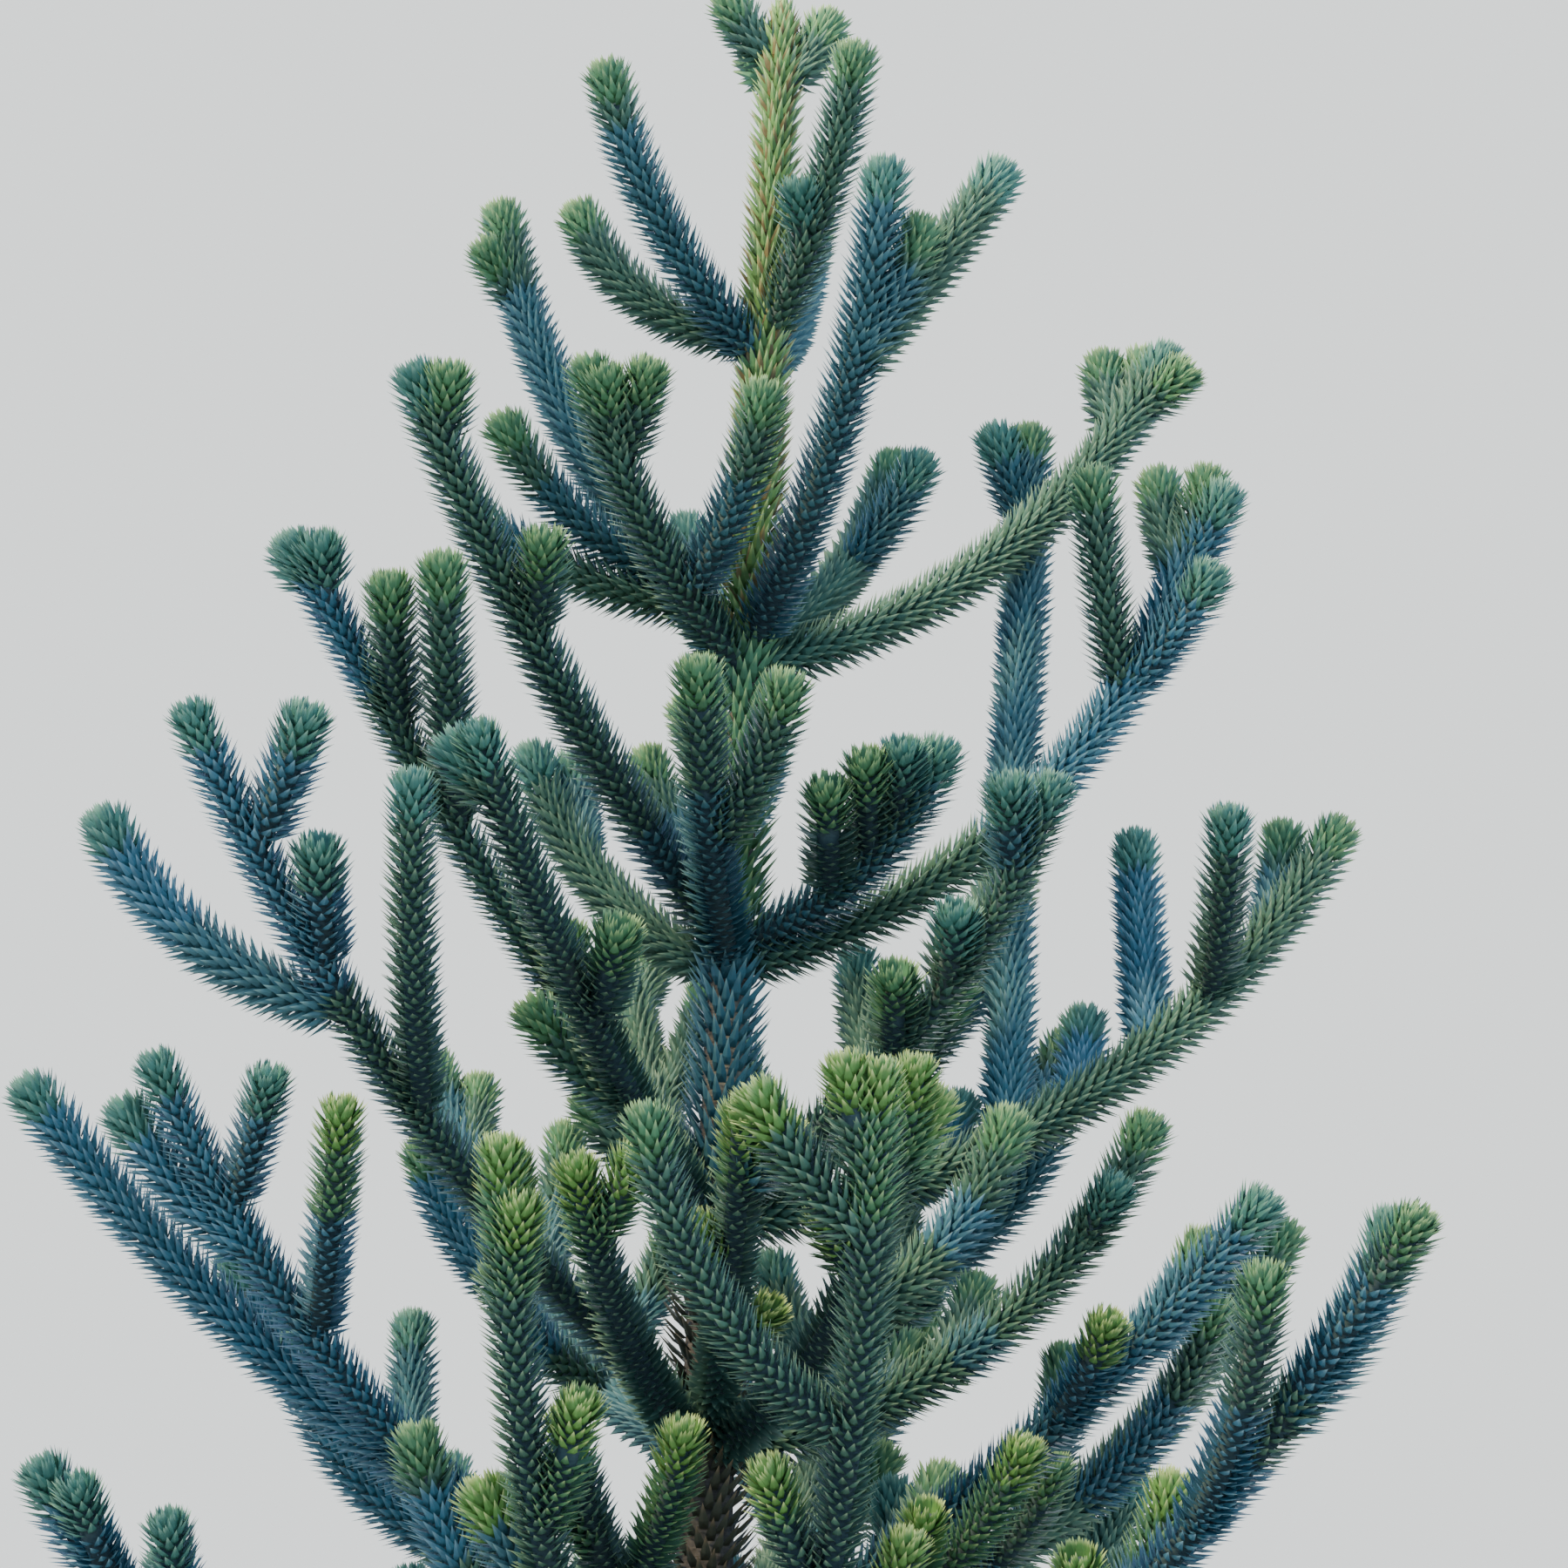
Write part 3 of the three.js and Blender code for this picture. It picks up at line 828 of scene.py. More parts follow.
def grow_mesh(name: str, tree: bpy.types.NodeTree, lines: "Lines", inputs: dict[str, object]) -> bpy.types.Object:
    """Runs a geometry tree on lines and returns the result as a plain mesh object.

    Args:
        name: The new object's name.
        tree: The geometry tree.
        lines: The lines that it starts from.
        inputs: The tree's input values by socket name.

    Returns:
        The new object, linked to the scene, with no modifier.
    """
    source = show(f"{name}_lines", lines.mesh(f"{name}_lines"))
    modifier = source.modifiers.new("grow", "NODES")
    modifier.node_group = tree
    for item in tree.interface.items_tree:
        if item.in_out == "INPUT" and item.name in inputs:
            modifier[item.identifier] = inputs[item.name]
    evaluated = source.evaluated_get(bpy.context.evaluated_depsgraph_get())
    mesh = bpy.data.meshes.new_from_object(evaluated)
    source.modifiers.remove(modifier)
    bpy.data.objects.remove(source)
    mesh.name = name
    return show(name, mesh)


@dataclass
class Lines:
    """Open lines with a lean, a size and a stand (distance off the line) for the leaves at each point."""

    points: list[np.ndarray] = field(default_factory=list)
    leans: list[np.ndarray] = field(default_factory=list)
    sizes: list[np.ndarray] = field(default_factory=list)
    stands: list[np.ndarray] = field(default_factory=list)

    def add(self, points: np.ndarray, leans: np.ndarray, sizes: np.ndarray, stands: np.ndarray) -> None:
        """Adds one line with its values at each point.

        Args:
            points: The line's points.
            leans: The lean of the leaves, in radians.
            sizes: Their size.
            stands: Their distance off the line.
        """
        self.points.append(points)
        self.leans.append(leans)
        self.sizes.append(sizes)
        self.stands.append(stands)

    def mesh(self, name: str) -> bpy.types.Mesh:
        """Makes the lines a mesh of edges that carries the values.

        Args:
            name: The mesh's name.

        Returns:
            The mesh.
        """
        edges: list[tuple[int, int]] = []
        start = 0
        for line in self.points:
            edges += [(start + step, start + step + 1) for step in range(len(line) - 1)]
            start += len(line)
        mesh = bpy.data.meshes.new(name)
        mesh.from_pydata(np.vstack(self.points).tolist(), edges, [])
        for key, values in (("lean", self.leans), ("size", self.sizes), ("stand", self.stands)):
            data = np.concatenate(values).astype(np.float32)
            mesh.attributes.new(key, "FLOAT", "POINT").data.foreach_set("value", data)
        return mesh


def new_material(name: str) -> tuple[bpy.types.Material, NodeTree, bpy.types.Node]:
    """Makes a new material.

    Args:
        name: The material's name.

    Returns:
        The material, its node helper and its Principled shader.
    """
    material = bpy.data.materials.new(name)
    material.use_nodes = True
    shader = next(node for node in material.node_tree.nodes if node.type == "BSDF_PRINCIPLED")
    return material, NodeTree(material.node_tree), shader


@dataclass(frozen=True)
class Surfacing:
    """How a material stands on a surface group: the strength and depth of its bump, and its sheen."""

    bump_strength: float
    bump_depth: float
    sheen: float

    def material(self, name: str, group: bpy.types.NodeTree, values: dict[str, object]) -> bpy.types.Material:
        """Makes a material round a surface group.

        Args:
            name: The material's name.
            group: The surface group, which gives the colour, the roughness and the height.
            values: The group's input values, by input name with spaces as underscores.

        Returns:
            The material.
        """
        material, nodes, shader = new_material(name)
        surface = nodes.add("ShaderNodeGroup", {"node_tree": group}, **values).outputs
        bump = nodes.add(
            "ShaderNodeBump",
            None,
            Strength=self.bump_strength,
            Distance=self.bump_depth,
            Height=surface["Height"],
        )
        nodes.tree.links.new(surface["Color"], shader.inputs["Base Color"])
        nodes.tree.links.new(surface["Roughness"], shader.inputs["Roughness"])
        nodes.tree.links.new(bump.outputs["Normal"], shader.inputs["Normal"])
        shader.inputs["Specular IOR Level"].default_value = self.sheen
        return material


@dataclass(frozen=True)
class LeafSurface:
    """The surface that all leaves share: colour along the leaf, paling to the spine partly in its own colour and partly
    as a painted highlight, tone by leaf, and fine ribs.
    """

    patch_scale: float = 9.0
    patch_detail: float = 2.0
    rib_scale: float = 420.0
    rib_detail: float = 3.0
    rib_roughness: float = 0.12
    spine_highlight_start: float = 0.55

    def group(self) -> bpy.types.NodeTree:
        """Builds the shader group.

        Returns:
            The group, which gives a leaf's colour, roughness and height.
        """
        nodes = new_tree("leaf surface", "ShaderNodeTree")
        nodes.sockets("INPUT", Leaf_Color="Color", Spine_Color="Color", Variation="Float", Gloss_Roughness="Float")
        nodes.sockets("OUTPUT", Color="Color", Roughness="Float", Height="Float")
        given = nodes.add("NodeGroupInput").outputs
        place = nodes.add("ShaderNodeTexCoord").outputs["Object"]
        patches = nodes.noise(place, self.patch_scale, self.patch_detail)
        ribs = nodes.noise(place, self.rib_scale, self.rib_detail)
        mixed = nodes.math("MULTIPLY", nodes.math("ADD", nodes.attribute("tone"), patches), 0.5)
        swing = nodes.math("MULTIPLY", nodes.math("SUBTRACT", mixed, 0.5), given["Variation"])
        light = nodes.math("ADD", 1.0, nodes.math("MULTIPLY", swing, 2.0))
        shaded = nodes.add(
            "ShaderNodeVectorMath", {"operation": "SCALE"}, Vector=given["Leaf Color"], Scale=light
        ).outputs[0]
        # Paling towards the spine: partly the spine's own colour, partly a painted highlight.
        to_spine_highlight = nodes.add(
            "ShaderNodeMapRange",
            {"interpolation_type": "SMOOTHSTEP"},
            Value=nodes.attribute("along"),
            From_Min=self.spine_highlight_start,
            From_Max=1.0,
        ).outputs[0]
        color = nodes.mix(to_spine_highlight, shaded, given["Spine Color"])
        roughness = nodes.math("ADD", given["Gloss Roughness"], nodes.math("MULTIPLY", ribs, self.rib_roughness))
        nodes.add("NodeGroupOutput", None, Color=color, Roughness=roughness, Height=ribs)
        return nodes.tree


@dataclass(frozen=True)
class BarkSurface:
    """The surface that all wood shares: level folds, cracks and pale patches."""

    level_stretch: float = 5.0
    fold_detail: float = 6.0
    fold_roughness: float = 0.62
    fold_share: float = 0.8
    grit_scale: float = 260.0
    grit_detail: float = 4.0
    grit_share: float = 0.2
    patch_scale: float = 11.0
    patch_detail: float = 3.0
    crack_range: tuple[float, float] = (0.36, 0.62)
    patch_range: tuple[float, float] = (0.52, 0.68)
    patch_strength: float = 0.7
    ridge_smoothness: float = 0.3

    def group(self) -> bpy.types.NodeTree:
        """Builds the shader group.

        Returns:
            The group, which gives the wood's colour, roughness and height.
        """
        nodes = new_tree("bark surface", "ShaderNodeTree")
        nodes.sockets("INPUT", Ridge_Color="Color", Crack_Color="Color", Patch_Color="Color", Fold_Scale="Float")
        nodes.sockets("OUTPUT", Color="Color", Roughness="Float", Height="Float")
        given = nodes.add("NodeGroupInput").outputs
        place = nodes.add("ShaderNodeTexCoord").outputs["Object"]
        flat = nodes.add("ShaderNodeMapping", None, Vector=place, Scale=(1.0, 1.0, self.level_stretch)).outputs[0]
        folds = nodes.noise(flat, given["Fold Scale"], self.fold_detail, Roughness=self.fold_roughness)
        grit = nodes.noise(place, self.grit_scale, self.grit_detail)
        patches = nodes.noise(place, self.patch_scale, self.patch_detail)
        fold_height = nodes.math("MULTIPLY", folds, self.fold_share)
        height = nodes.math("ADD", fold_height, nodes.math("MULTIPLY", grit, self.grit_share))
        from_crack, to_ridge = self.crack_range
        depth = nodes.add("ShaderNodeMapRange", None, Value=height, From_Min=from_crack, From_Max=to_ridge).outputs[0]
        wood = nodes.mix(depth, given["Crack Color"], given["Ridge Color"])
        patch_start, patch_full = self.patch_range
        where = nodes.add(
            "ShaderNodeMapRange",
            None,
            Value=patches,
            From_Min=patch_start,
            From_Max=patch_full,
            To_Max=self.patch_strength,
        ).outputs[0]
        color = nodes.mix(where, wood, given["Patch Color"])
        roughness = nodes.math("SUBTRACT", 1.0, nodes.math("MULTIPLY", height, self.ridge_smoothness))
        nodes.add("NodeGroupOutput", None, Color=color, Roughness=roughness, Height=height)
        return nodes.tree


@dataclass(frozen=True)
class LeafFinish:
    """The colour of one kind of leaf, and how it pales towards its spine, partly the spine's own colour and partly a
    painted highlight.
    """

    color: tuple[float, float, float]
    # The spine colour: partly its own, partly a painted highlight.
    spine: tuple[float, float, float]
    roughness: float = 0.50
    variation: float = 0.40
    surfacing: Surfacing = Surfacing(bump_strength=0.25, bump_depth=0.0006, sheen=0.26)

    def material(self, name: str, group: bpy.types.NodeTree) -> bpy.types.Material:
        """Makes the leaf material.

        Args:
            name: The material's name.
            group: The surface group that all leaves share.

        Returns:
            The material.
        """
        values = {
            "Leaf_Color": (*self.color, 1.0),
            "Spine_Color": (*self.spine, 1.0),
            "Variation": self.variation,
            "Gloss_Roughness": self.roughness,
        }
        return self.surfacing.material(name, group, values)


@dataclass(frozen=True)
class BarkFinish:
    """The colours of one kind of wood, the scale of its folds, and how deep its bump stands."""

    ridge: tuple[float, float, float]
    crack: tuple[float, float, float]
    patch: tuple[float, float, float]
    fold_scale: float
    surfacing: Surfacing

    def material(self, name: str, group: bpy.types.NodeTree) -> bpy.types.Material:
        """Makes the wood material.

        Args:
            name: The material's name.
            group: The surface group that all wood shares.

        Returns:
            The material.
        """
        values = {
            "Ridge_Color": (*self.ridge, 1.0),
            "Crack_Color": (*self.crack, 1.0),
            "Patch_Color": (*self.patch, 1.0),
            "Fold_Scale": self.fold_scale,
        }
        return self.surfacing.material(name, group, values)


LEAF_FINISHES = {
    Tint.DEEP: LeafFinish((0.036, 0.090, 0.096), (0.13, 0.20, 0.17)),
    # Painted blue shade on the sprays at the crown's sides.
    Tint.BLUE: LeafFinish((0.042, 0.106, 0.128), (0.14, 0.22, 0.23)),
    Tint.MID: LeafFinish((0.044, 0.090, 0.056), (0.17, 0.22, 0.12)),
    Tint.FROST: LeafFinish((0.048, 0.122, 0.086), (0.16, 0.25, 0.16)),
    Tint.FRESH: LeafFinish((0.058, 0.130, 0.054), (0.25, 0.32, 0.12)),
    # Young tips brightened with painted sunlight.
    Tint.TIP: LeafFinish((0.092, 0.176, 0.038), (0.42, 0.44, 0.14)),
    Tint.LEADER: LeafFinish((0.086, 0.155, 0.040), (0.34, 0.40, 0.13), variation=0.8),
    Tint.AMBER: LeafFinish((0.105, 0.070, 0.022), (0.34, 0.27, 0.09), variation=0.7),
    Tint.OLD: LeafFinish((0.046, 0.042, 0.022), (0.16, 0.10, 0.05), roughness=0.7),
}

TRUNK_BARK = BarkFinish(
    ridge=(0.088, 0.060, 0.038),
    crack=(0.028, 0.019, 0.012),
    patch=(0.125, 0.104, 0.072),
    fold_scale=26.0,
    surfacing=Surfacing(bump_strength=0.8, bump_depth=0.004, sheen=0.5),
)
TWIG_BARK = BarkFinish(
    ridge=(0.028, 0.050, 0.046),
    crack=(0.014, 0.024, 0.024),
    patch=(0.050, 0.060, 0.046),
    fold_scale=60.0,
    surfacing=Surfacing(bump_strength=0.8, bump_depth=0.001, sheen=0.5),
)


class Wardrobe:
    """All materials and geometry trees, built once and shared."""

    def __init__(self) -> None:
        """Builds the shared groups, the materials, the unit leaf and the geometry trees."""
        leaf_group = LeafSurface().group()
        bark_group = BarkSurface().group()
        self.leaves = {tint: look.material(f"leaf_{tint.value}", leaf_group) for tint, look in LEAF_FINISHES.items()}
        self.trunk_bark = TRUNK_BARK.material("trunk_bark", bark_group)
        self.twig_bark = TWIG_BARK.material("twig_bark", bark_group)
        self.leaf = LeafShape().build()
        self.sprays = LeafSprays().tree()
        self.tubes = StemTubes().tree()


def settle(piece: bpy.types.Object, slot: Slot, nodes: list[str]) -> None:
    """Rides a piece on the body, hides the nodes that it stands for, and reports it.

    Args:
        piece: The piece.
        slot: Its material slot, which is not used.
        nodes: The nodes that it replaces, which may be none.
    """
    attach(piece, BODY)
    if nodes:
        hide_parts(*nodes)
    LOG.info("%s: %d faces, stands for %s", piece.name, len(piece.data.polygons), ", ".join(nodes) or "nothing")


@dataclass
class Spray:
    """How leaves stand along a stem, and how they close up into the blunt rosette at its tip."""

    lean: float = 58.0
    rosette_lean: float = 49.0
    bud_lean: float = 9.0
    rosette_length: float = 0.050
    bud_length: float = 0.012
    rosette_size: float = 1.02
    bud_size: float = 0.76
    tip_room: float = 0.026

    def values(self, left: np.ndarray) -> tuple[np.ndarray, np.ndarray]:
        """Works out how the leaves stand.

        Args:
            left: The distances that are left to the wood's end.

        Returns:
            The lean in radians and the size of the leaves at these distances.
        """
        marks = [0.0, self.bud_length, self.rosette_length]
        leans = np.interp(left, marks, [self.bud_lean, self.rosette_lean, self.lean])
        sizes = np.interp(left, marks, [self.bud_size, self.rosette_size, 1.0])
        return np.radians(leans), sizes


@dataclass
class ArmRing:
    """One ring of arms: woody stems, and their leaves in sprays of different tints."""

    number: int
    skeleton: Skeleton
    wardrobe: Wardrobe
    spray: Spray = field(default_factory=Spray)
    spray_length: float = 0.060
    spray_spread: tuple[float, float] = (0.7, 1.3)
    spray_least: float = 0.01
    tip_length: float = 0.042
    young_length: float = 0.090
    young_spread: tuple[float, float] = (0.4, 1.0)
    line_step: float = 0.006
    bare_root: float = 0.012
    root_radius: float = 0.0128
    shoot_radius: float = 0.0120
    end_radius: float = 0.0118
    front_girth: float = 0.88
    leaf_length: float = 0.0285
    leaf_width: float = 0.0098
    spacing: float = 0.00070
    tip_spacing: float = 0.00062
    bud_layers: int = 3
    left_side: float = -0.34
    # Where sprays get the painted blue shade: where it starts, where it is full, and how often, left and right.
    blue_shade_left: tuple[float, float, float] = (-0.16, -0.46, 0.92)
    blue_shade_right: tuple[float, float, float] = (0.22, 0.56, 0.50)
    green_above: float = 3.20
    mid_share: float = 0.45
    front_low: tuple[float, float] = (-0.35, 2.10)
    # Where tips get the painted sunlight: in front, below a height, left of a line, and how often.
    sunlit_front: float = -0.15
    sunlit_below: float = 2.17
    sunlit_right: float = 0.50
    sunlit_share: float = 0.92
    fresh_share: float = 0.55
    even_share: float = 0.96

    def build(self) -> None:
        """Builds the ring's wood and leaves."""
        stems = self.skeleton.of_ring(self.number)
        nodes = sorted({stem.owner for stem in stems})
        rng = random.Random(SEED * RING_SEED_STEP + self.number)
        wood = Lines()
        sprays: dict[Tint, Lines] = {}
        for stem in stems:
            self._split(stem, wood, sprays, rng)
        tubes = grow_mesh(f"wood_ring_{self.number}", self.wardrobe.tubes, wood, {"Material": self.wardrobe.twig_bark})
        settle(tubes, Slot.ARM, nodes)
        for tint, lines in sprays.items():
            inputs = {
                "Leaf": self.wardrobe.leaf,
                "Material": self.wardrobe.leaves[tint],
                "Spacing": self.tip_spacing if tint in END_TINTS else self.spacing,
                "Leaf Length": self.leaf_length,
                "Leaf Width": self.leaf_width,
                "Seed": self.number * SPRAY_SEED_STEP + len(tint.value),
            }
            name = f"leaves_ring_{self.number}_{tint.value}"
            settle(grow_mesh(name, self.wardrobe.sprays, lines, inputs), Slot.ARM, nodes)

    def _split(self, stem: Stem, wood: Lines, sprays: dict[Tint, Lines], rng: random.Random) -> None:
        """Cuts a stem into sprays and adds each to the lines of its tint.

        Args:
            stem: The stem.
            wood: The lines of the ring's wood, which get the whole stem.
            sprays: The lines of each tint so far.
            rng: The ring's random numbers.
        """
        end = stem.length - self.spray.tip_room
        thick = self.shoot_radius if stem.is_shoot else self.root_radius
        self._add(stem, wood, 0.0, end, thick)
        start = self.bare_root
        tip_start = end - self.tip_length
        tip_tint = self._tip_tint(stem, rng)
        rolls = rng.random(), rng.random()
        while start < tip_start - self.spray_least:
            stop = min(tip_start, start + self.spray_length * rng.uniform(*self.spray_spread))
            own = rolls if rng.random() < self.even_share else (rng.random(), rng.random())
            tint = self._body_tint(stem, stem.at((start + stop) / 2), own)
            if tip_tint is not Tint.FROST and end - stop < self.young_length * rng.uniform(*self.young_spread):
                tint = Tint.MID if tip_tint is Tint.FRESH else Tint.FRESH
            self._add(stem, sprays.setdefault(tint, Lines()), start, stop, thick)
            start = stop
        tip_lines = sprays.setdefault(tip_tint, Lines())
        self._add(stem, tip_lines, max(start, tip_start), end, thick)
        for _ in range(self.bud_layers):
            self._add(stem, tip_lines, end - self.spray.bud_length, end, thick)

    def _add(self, stem: Stem, lines: Lines, start: float, stop: float, thick: float) -> None:
        """Adds a stretch of a stem to lines, with the values of its leaves.

        Args:
            stem: The stem.
            lines: The lines to add to.
            start: Where the stretch starts, from the stem's root.
            stop: Where it stops.
            thick: The wood's radius at the stem's root.
        """
        steps = max(2, math.ceil((stop - start) / self.line_step))
        distances = np.linspace(start, stop, steps + 1)
        points = np.array([stem.at(distance) for distance in distances])
        left = stem.length - self.spray.tip_room - distances
        leans, sizes = self.spray.values(left)
        stands = self.end_radius + (thick - self.end_radius) * np.clip(left / stem.length, 0, 1)
        girth = self.front_girth if self._is_front_low(stem) else 1.0
        lines.add(points, leans, sizes * girth, stands * girth)

    def _is_front_low(self, stem: Stem) -> bool:
        """Tells whether a stem grows to the front, low in the crown."""
        front, low = self.front_low
        return level_way(stem.compass)[1] < front and stem.points[0][2] < low

    def _body_tint(self, stem: Stem, place: np.ndarray, rolls: tuple[float, float]) -> Tint:
        """Picks the tint of a spray: painted blue shade towards both sides, greener in front low down and at the top.

        Args:
            stem: The stem that carries the spray.
            place: The spray's place.
            rolls: Two random numbers, for the painted blue shade and for the green.

        Returns:
            The tint.
        """
        if stem.points[0][2] > self.green_above:
            return Tint.MID
        start, end, share = self.blue_shade_left if place[0] < 0 else self.blue_shade_right
        # Painted blue shade, more often the further out to the side.
        if rolls[0] < share * min(1.0, max(0.0, (place[0] - start) / (end - start))):
            return Tint.BLUE
        return Tint.MID if self._is_front_low(stem) or rolls[1] < self.mid_share else Tint.DEEP

    def _tip_tint(self, stem: Stem, rng: random.Random) -> Tint:
        """Picks the tint of a tip: young growth with painted sunlight in front low down, fresh at the top, pale teal at
        the left as painted blue shade.

        Args:
            stem: The stem.
            rng: The ring's random numbers.

        Returns:
            The tint.
        """
        x, y, z = stem.points[-1]
        # Painted sunlight on the young tips in front low down.
        if y < self.sunlit_front and z < self.sunlit_below and self.left_side < x < self.sunlit_right:
            return Tint.TIP if rng.random() < self.sunlit_share else Tint.FRESH
        if z > self.green_above:
            return Tint.FRESH
        # Pale teal ends at the left: painted blue shade.
        if x < self.left_side:
            return Tint.FROST
        return Tint.FRESH if rng.random() < self.fresh_share else Tint.FROST


@dataclass
class Leader:
    """The leafy upper trunk: bright young leaves at the top, greener ones below, old brown ones lowest."""

    skeleton: Skeleton
    wardrobe: Wardrobe
    top: float = 3.418
    fresh_bottom: float = 2.640
    green_bottom: float = 2.300
    deep_bottom: float = 1.950
    old_bottom: float = 1.000
    lean: float = 47.0
    old_lean: float = 52.0
    tip_lean: float = 8.0
    tip_length: float = 0.060
    tip_size: float = 0.6
    line_step: float = 0.01
    leaf_length: float = 0.035
    leaf_width: float = 0.0112
    spacing: float = 0.00090
    amber_spacing: float = 0.0025
    old_spacing: float = 0.0009
    stand_off: float = 0.002

    def build(self) -> None:
        """Builds the leaves of the leader from the top down."""
        nodes = [sleeve.owner for sleeve in self.skeleton.sleeves]
        stretches = (
            (Tint.LEADER, self.fresh_bottom, self.top),
            (Tint.FRESH, self.green_bottom, self.fresh_bottom),
            (Tint.DEEP, self.deep_bottom, self.green_bottom),
        )
        for tint, low, high in stretches:
            self._leaves(f"leaves_leader_{tint.value}", tint, self._line(low, high, self.lean), self.spacing, nodes)
        flecks = self._line(self.fresh_bottom, self.top, self.lean)
        self._leaves("leaves_leader_amber", Tint.AMBER, flecks, self.amber_spacing, nodes)
        old = self._line(self.old_bottom, self.deep_bottom, self.old_lean)
        self._leaves("leaves_old_trunk", Tint.OLD, old, self.old_spacing, [])

    def _line(self, low: float, high: float, lean: float) -> Lines:
        """Follows the trunk between two heights, with its leaves close at the very top.

        Args:
            low: The lower height.
            high: The upper height.
            lean: The lean of the leaves in degrees.

        Returns:
            The trunk's line there.
        """
        heights = np.arange(low, high, self.line_step)
        points = np.array([TRUNK.centre(height) for height in heights])
        left = self.top - heights
        leans = np.radians(np.interp(left, [0.0, self.tip_length], [self.tip_lean, lean]))
        sizes = np.interp(left, [0.0, self.tip_length], [self.tip_size, 1.0])
        stands = np.array([TRUNK.radius(height) for height in heights]) + self.stand_off
        lines = Lines()
        lines.add(points, leans, sizes, stands)
        return lines

    def _leaves(self, name: str, tint: Tint, lines: Lines, spacing: float, nodes: list[str]) -> None:
        """Grows leaves on a line of the trunk.

        Args:
            name: The piece's name.
            tint: The tint of its leaves.
            lines: The trunk's line.
            spacing: The distance between two leaves along it.
            nodes: The nodes that the piece replaces.
        """
        inputs = {
            "Leaf": self.wardrobe.leaf,
            "Material": self.wardrobe.leaves[tint],
            "Spacing": spacing,
            "Leaf Length": self.leaf_length,
            "Leaf Width": self.leaf_width,
            "Seed": SEED,
        }
        settle(grow_mesh(name, self.wardrobe.sprays, lines, inputs), Slot.LEADER, nodes)


@dataclass
class Trunk:
    """The trunk with its bark: level folds, leaf scars in a spiral, and a swelling at each ring of arms."""

    wardrobe: Wardrobe
    sides: int = 112
    fine_top: float = 1.25
    fine_step: float = 0.004
    coarse_step: float = 0.014
    fold_depth: float = 0.0022
    folds_across: float = 18.0
    folds_along: float = 95.0
    fold_smoothness: float = 0.7
    fold_spread: float = 2.1
    fold_octaves: int = 4
    scar_depth: float = 0.0012
    scar_turns: int = 8
    scar_pitch: float = 210.0
    ring_swell: float = 0.004
    ring_spread: float = 0.022
    full_relief_radius: float = 0.03
    foot_calm: float = 0.67
    foot_height: float = 0.02

    def build(self) -> None:
        """Builds the trunk's mesh and dresses it."""
        low = np.arange(0.0, self.fine_top, self.fine_step)
        high = np.arange(self.fine_top, TRUNK.height, self.coarse_step)
        heights = np.concatenate([low, high, [TRUNK.height]])
        points = [point for height in heights for point in self._row(height)]
        points += [tuple(TRUNK.centre(0.0)), tuple(TRUNK.centre(TRUNK.height + TRUNK.tip_radius))]
        mesh = bpy.data.meshes.new("trunk_bark")
        mesh.from_pydata(points, [], self._faces(len(heights)))
        mesh.shade_smooth()
        mesh.materials.append(self.wardrobe.trunk_bark)
        settle(show("trunk_bark", mesh), Slot.BARK, ["trunk"])

    def _row(self, height: float) -> list[tuple[float, float, float]]:
        """Places the points round the trunk at a height.

        Args:
            height: The height.

        Returns:
            The points of one level row.
        """
        centre = TRUNK.centre(height)
        points: list[tuple[float, float, float]] = []
        for side in range(self.sides):
            angle = side / self.sides * math.tau
            radius = TRUNK.radius(height) + self._relief(height, angle)
            points.append((centre[0] + math.cos(angle) * radius, centre[1] + math.sin(angle) * radius, height))
        return points

    def _faces(self, rows: int) -> list[tuple[int, ...]]:
        """Joins the rows of points, and closes both ends to the two middle points that follow them.

        Args:
            rows: The number of rows.

        Returns:
            The faces.
        """
        sides = [(side, (side + 1) % self.sides) for side in range(self.sides)]
        faces: list[tuple[int, ...]] = []
        for low in range(0, (rows - 1) * self.sides, self.sides):
            high = low + self.sides
            faces += [(low + side, low + after, high + after, high + side) for side, after in sides]
        foot = rows * self.sides
        top_row = foot - self.sides
        for side, after in sides:
            faces += [(foot, after, side), (foot + 1, top_row + side, top_row + after)]
        return faces

    def _relief(self, height: float, angle: float) -> float:
        """Works out how far the bark stands out, fading to nothing at the thin tip.

        Args:
            height: The height of the place.
            angle: Its angle round the trunk, in radians.

        Returns:
            The distance off the plain trunk.
        """
        radius = TRUNK.radius(height)
        across = (math.cos(angle) * radius, math.sin(angle) * radius)
        place = Vector((across[0] * self.folds_across, across[1] * self.folds_across, height * self.folds_along))
        folds = noise.fractal(place, self.fold_smoothness, self.fold_spread, self.fold_octaves)
        turned, risen = angle * self.scar_turns, height * self.scar_pitch
        scars = math.sin(turned + risen) * math.sin(turned - risen)
        swell = sum(math.exp(-(((height - plan.height) / self.ring_spread) ** 2)) for plan in RINGS)
        fade = min(1.0, radius / self.full_relief_radius)
        return fade * (folds * self.fold_depth + scars * self.scar_depth + swell * self.ring_swell) * self._foot(height)

    def _foot(self, height: float) -> float:
        """Returns 1, falling to a third in the last centimetres above the ground."""
        return 1.0 - self.foot_calm * math.exp(-height / self.foot_height)


@dataclass(frozen=True)
class Lamp:
    """A square area light."""

    name: str
    place: tuple[float, float, float]
    size: float
    power: float
    color: tuple[float, float, float]

    def hang(self, target: Vector) -> None:
        """Hangs the light.

        Args:
            target: The point that it faces.
        """
        light = bpy.data.lights.new(self.name, "AREA")
        light.size = self.size
        light.energy = self.power
        light.color = self.color
        lamp = show(self.name, light)
        lamp.location = self.place
        lamp.rotation_euler = (target - Vector(self.place)).to_track_quat("-Z", "Y").to_euler()


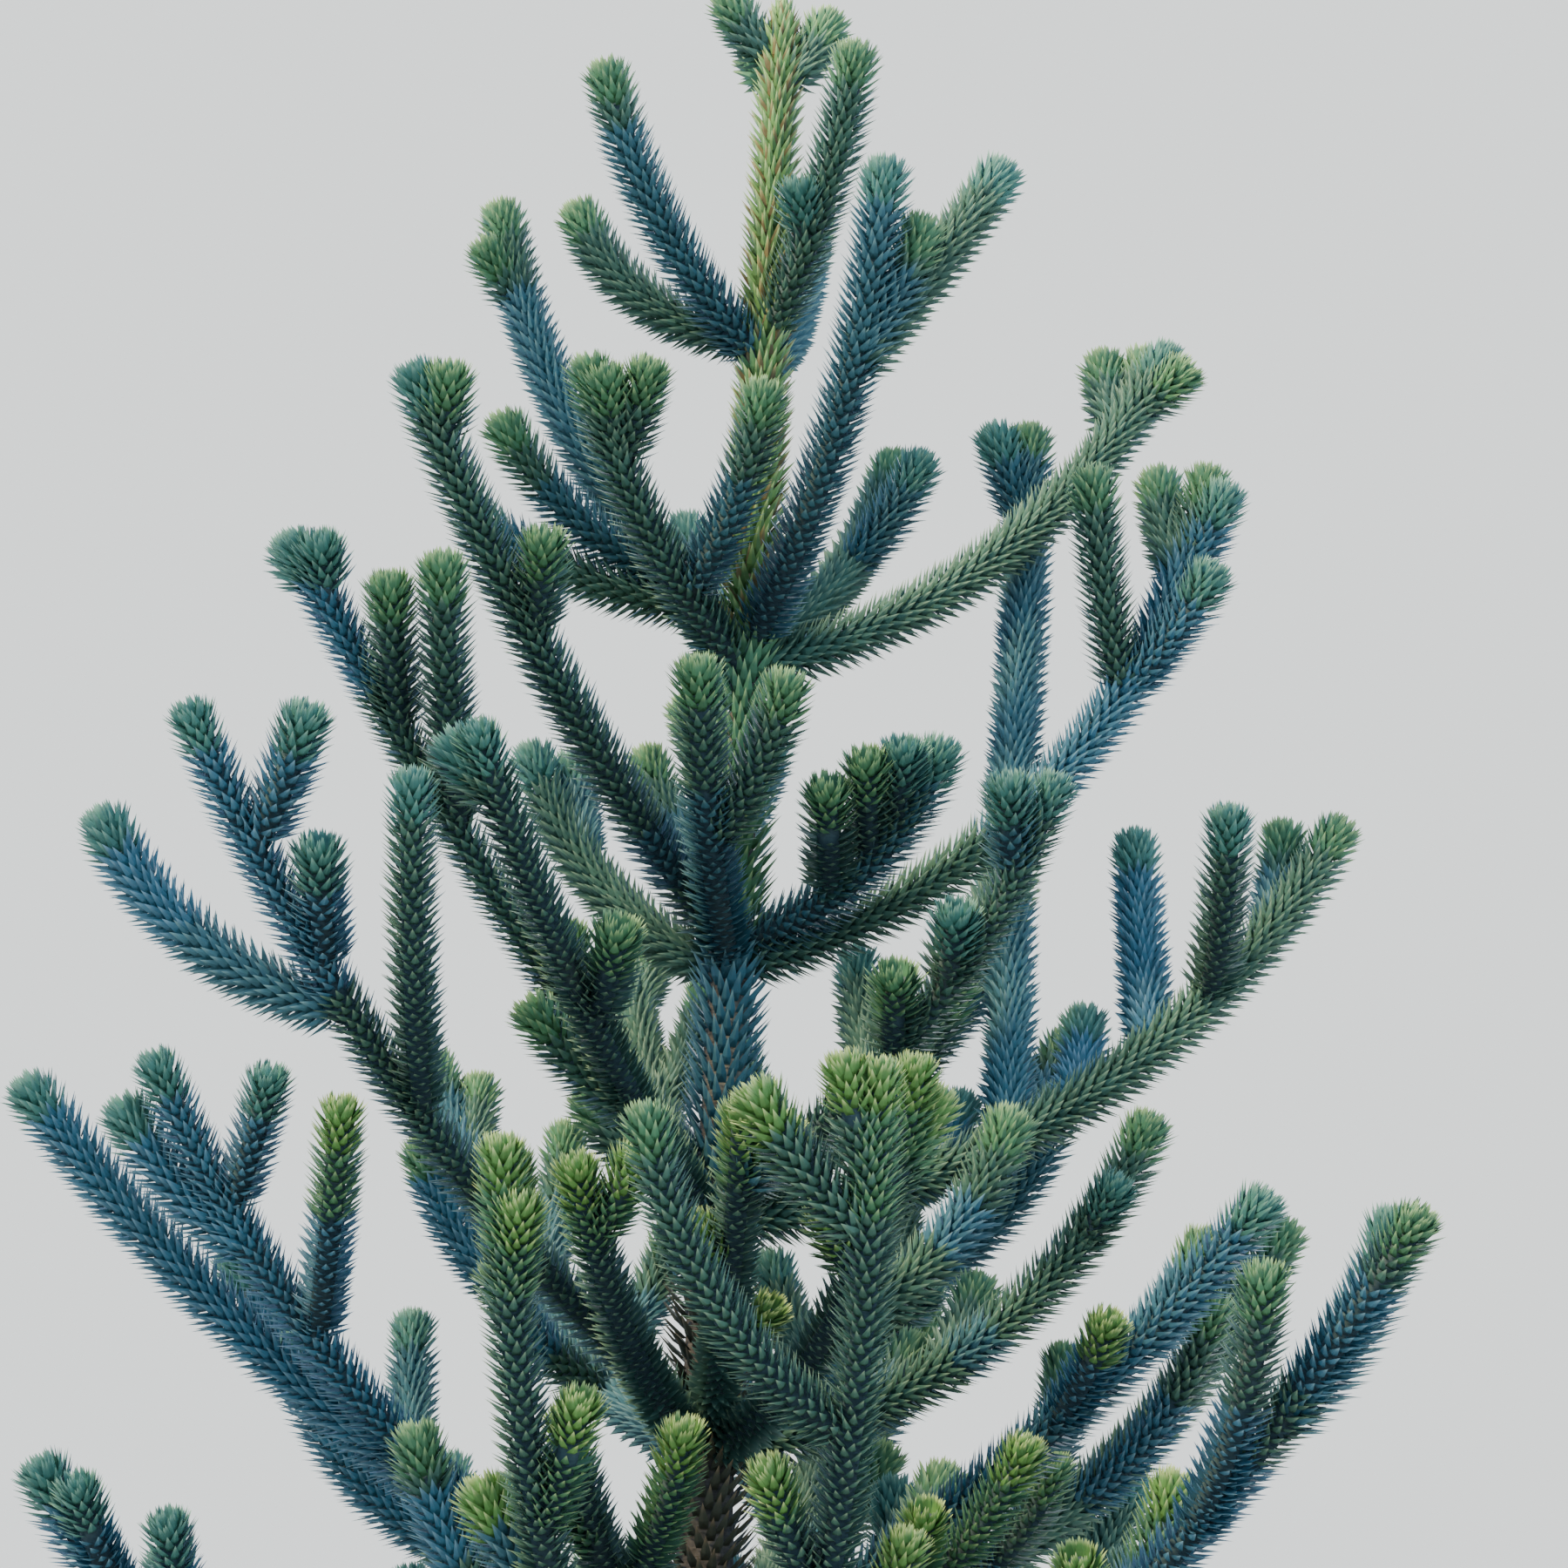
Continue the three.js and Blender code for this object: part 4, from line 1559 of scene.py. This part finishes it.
LAMPS = (
    Lamp("key", (-2.6, -2.8, 6.0), 1.2, 960.0, (1.0, 0.96, 0.70)),
    Lamp("fill", (3.6, -3.4, 2.6), 3.0, 35.0, (0.84, 0.93, 1.0)),
    Lamp("rim", (1.2, 3.6, 5.2), 2.6, 150.0, (1.0, 0.97, 0.88)),
)


@dataclass
class Studio:
    """The pale floor, the soft light and the camera, which looks up at the crown from eye height."""

    floor_radius: float = 9.0
    floor_sides: int = 96
    floor_color: tuple[float, float, float] = (0.54, 0.49, 0.44)
    floor_roughness: float = 0.9
    soft_color: tuple[float, float, float] = (0.38, 0.63, 1.0)
    soft_strength: float = 3.0
    seen_color: tuple[float, float, float] = (0.86, 0.90, 0.90)
    seen_strength: float = 1.6
    crown_middle: tuple[float, float, float] = (0.05, 0.0, 2.2)
    eye: tuple[float, float, float] = (0.0955, -3.2, 1.6)
    pitch: float = 15.5
    focal_pixels: float = 3555.0
    frame_pixels: float = 1800.0
    sensor: float = 36.0

    def build(self) -> None:
        """Builds the floor, the lights and the camera."""
        self._floor()
        self._sky()
        for lamp in LAMPS:
            lamp.hang(Vector(self.crown_middle))
        self._camera()

    def _floor(self) -> None:
        """Lays the floor, a plain pale disc."""
        mesh = bpy.data.meshes.new("floor")
        body = bmesh.new()
        bmesh.ops.create_circle(body, cap_ends=True, segments=self.floor_sides, radius=self.floor_radius)
        body.to_mesh(mesh)
        body.free()
        material, _, shader = new_material("floor")
        shader.inputs["Base Color"].default_value = (*self.floor_color, 1.0)
        shader.inputs["Roughness"].default_value = self.floor_roughness
        mesh.materials.append(material)
        show("floor", mesh)

    def _sky(self) -> None:
        """Sets a plain pale surround, brighter to the eye than the soft light that it gives from all sides."""
        world = bpy.data.worlds.new("surround")
        world.use_nodes = True
        nodes = NodeTree(world.node_tree)
        looks = ((self.soft_color, self.soft_strength), (self.seen_color, self.seen_strength))
        soft, seen = [
            nodes.add("ShaderNodeBackground", None, Color=(*color, 1.0), Strength=strength).outputs[0]
            for color, strength in looks
        ]
        is_seen = nodes.add("ShaderNodeLightPath").outputs["Is Camera Ray"]
        both = nodes.add("ShaderNodeMixShader", None, i0=is_seen, i1=soft, i2=seen).outputs[0]
        nodes.tree.links.new(both, nodes.tree.nodes["World Output"].inputs["Surface"])
        bpy.context.scene.world = world

    def _camera(self) -> None:
        """Sets the camera at the eye, tilted up, with the lens that its focal length in pixels gives."""
        data = bpy.data.cameras.new("camera")
        data.sensor_width = self.sensor
        data.lens = self.focal_pixels / self.frame_pixels * self.sensor
        camera = show("camera", data)
        camera.location = self.eye
        camera.rotation_euler = (math.radians(90 + self.pitch), 0.0, 0.0)
        bpy.context.scene.camera = camera


def main() -> None:
    """Builds the studio and the tree."""
    logging.basicConfig(level=logging.INFO, format="%(name)s: %(message)s")
    Studio().build()
    skeleton = Skeleton()
    wardrobe = Wardrobe()
    Trunk(wardrobe).build()
    Leader(skeleton, wardrobe).build()
    for number in range(1, len(RINGS) + 1):
        ArmRing(number, skeleton, wardrobe).build()


if __name__ == "__main__":
    main()
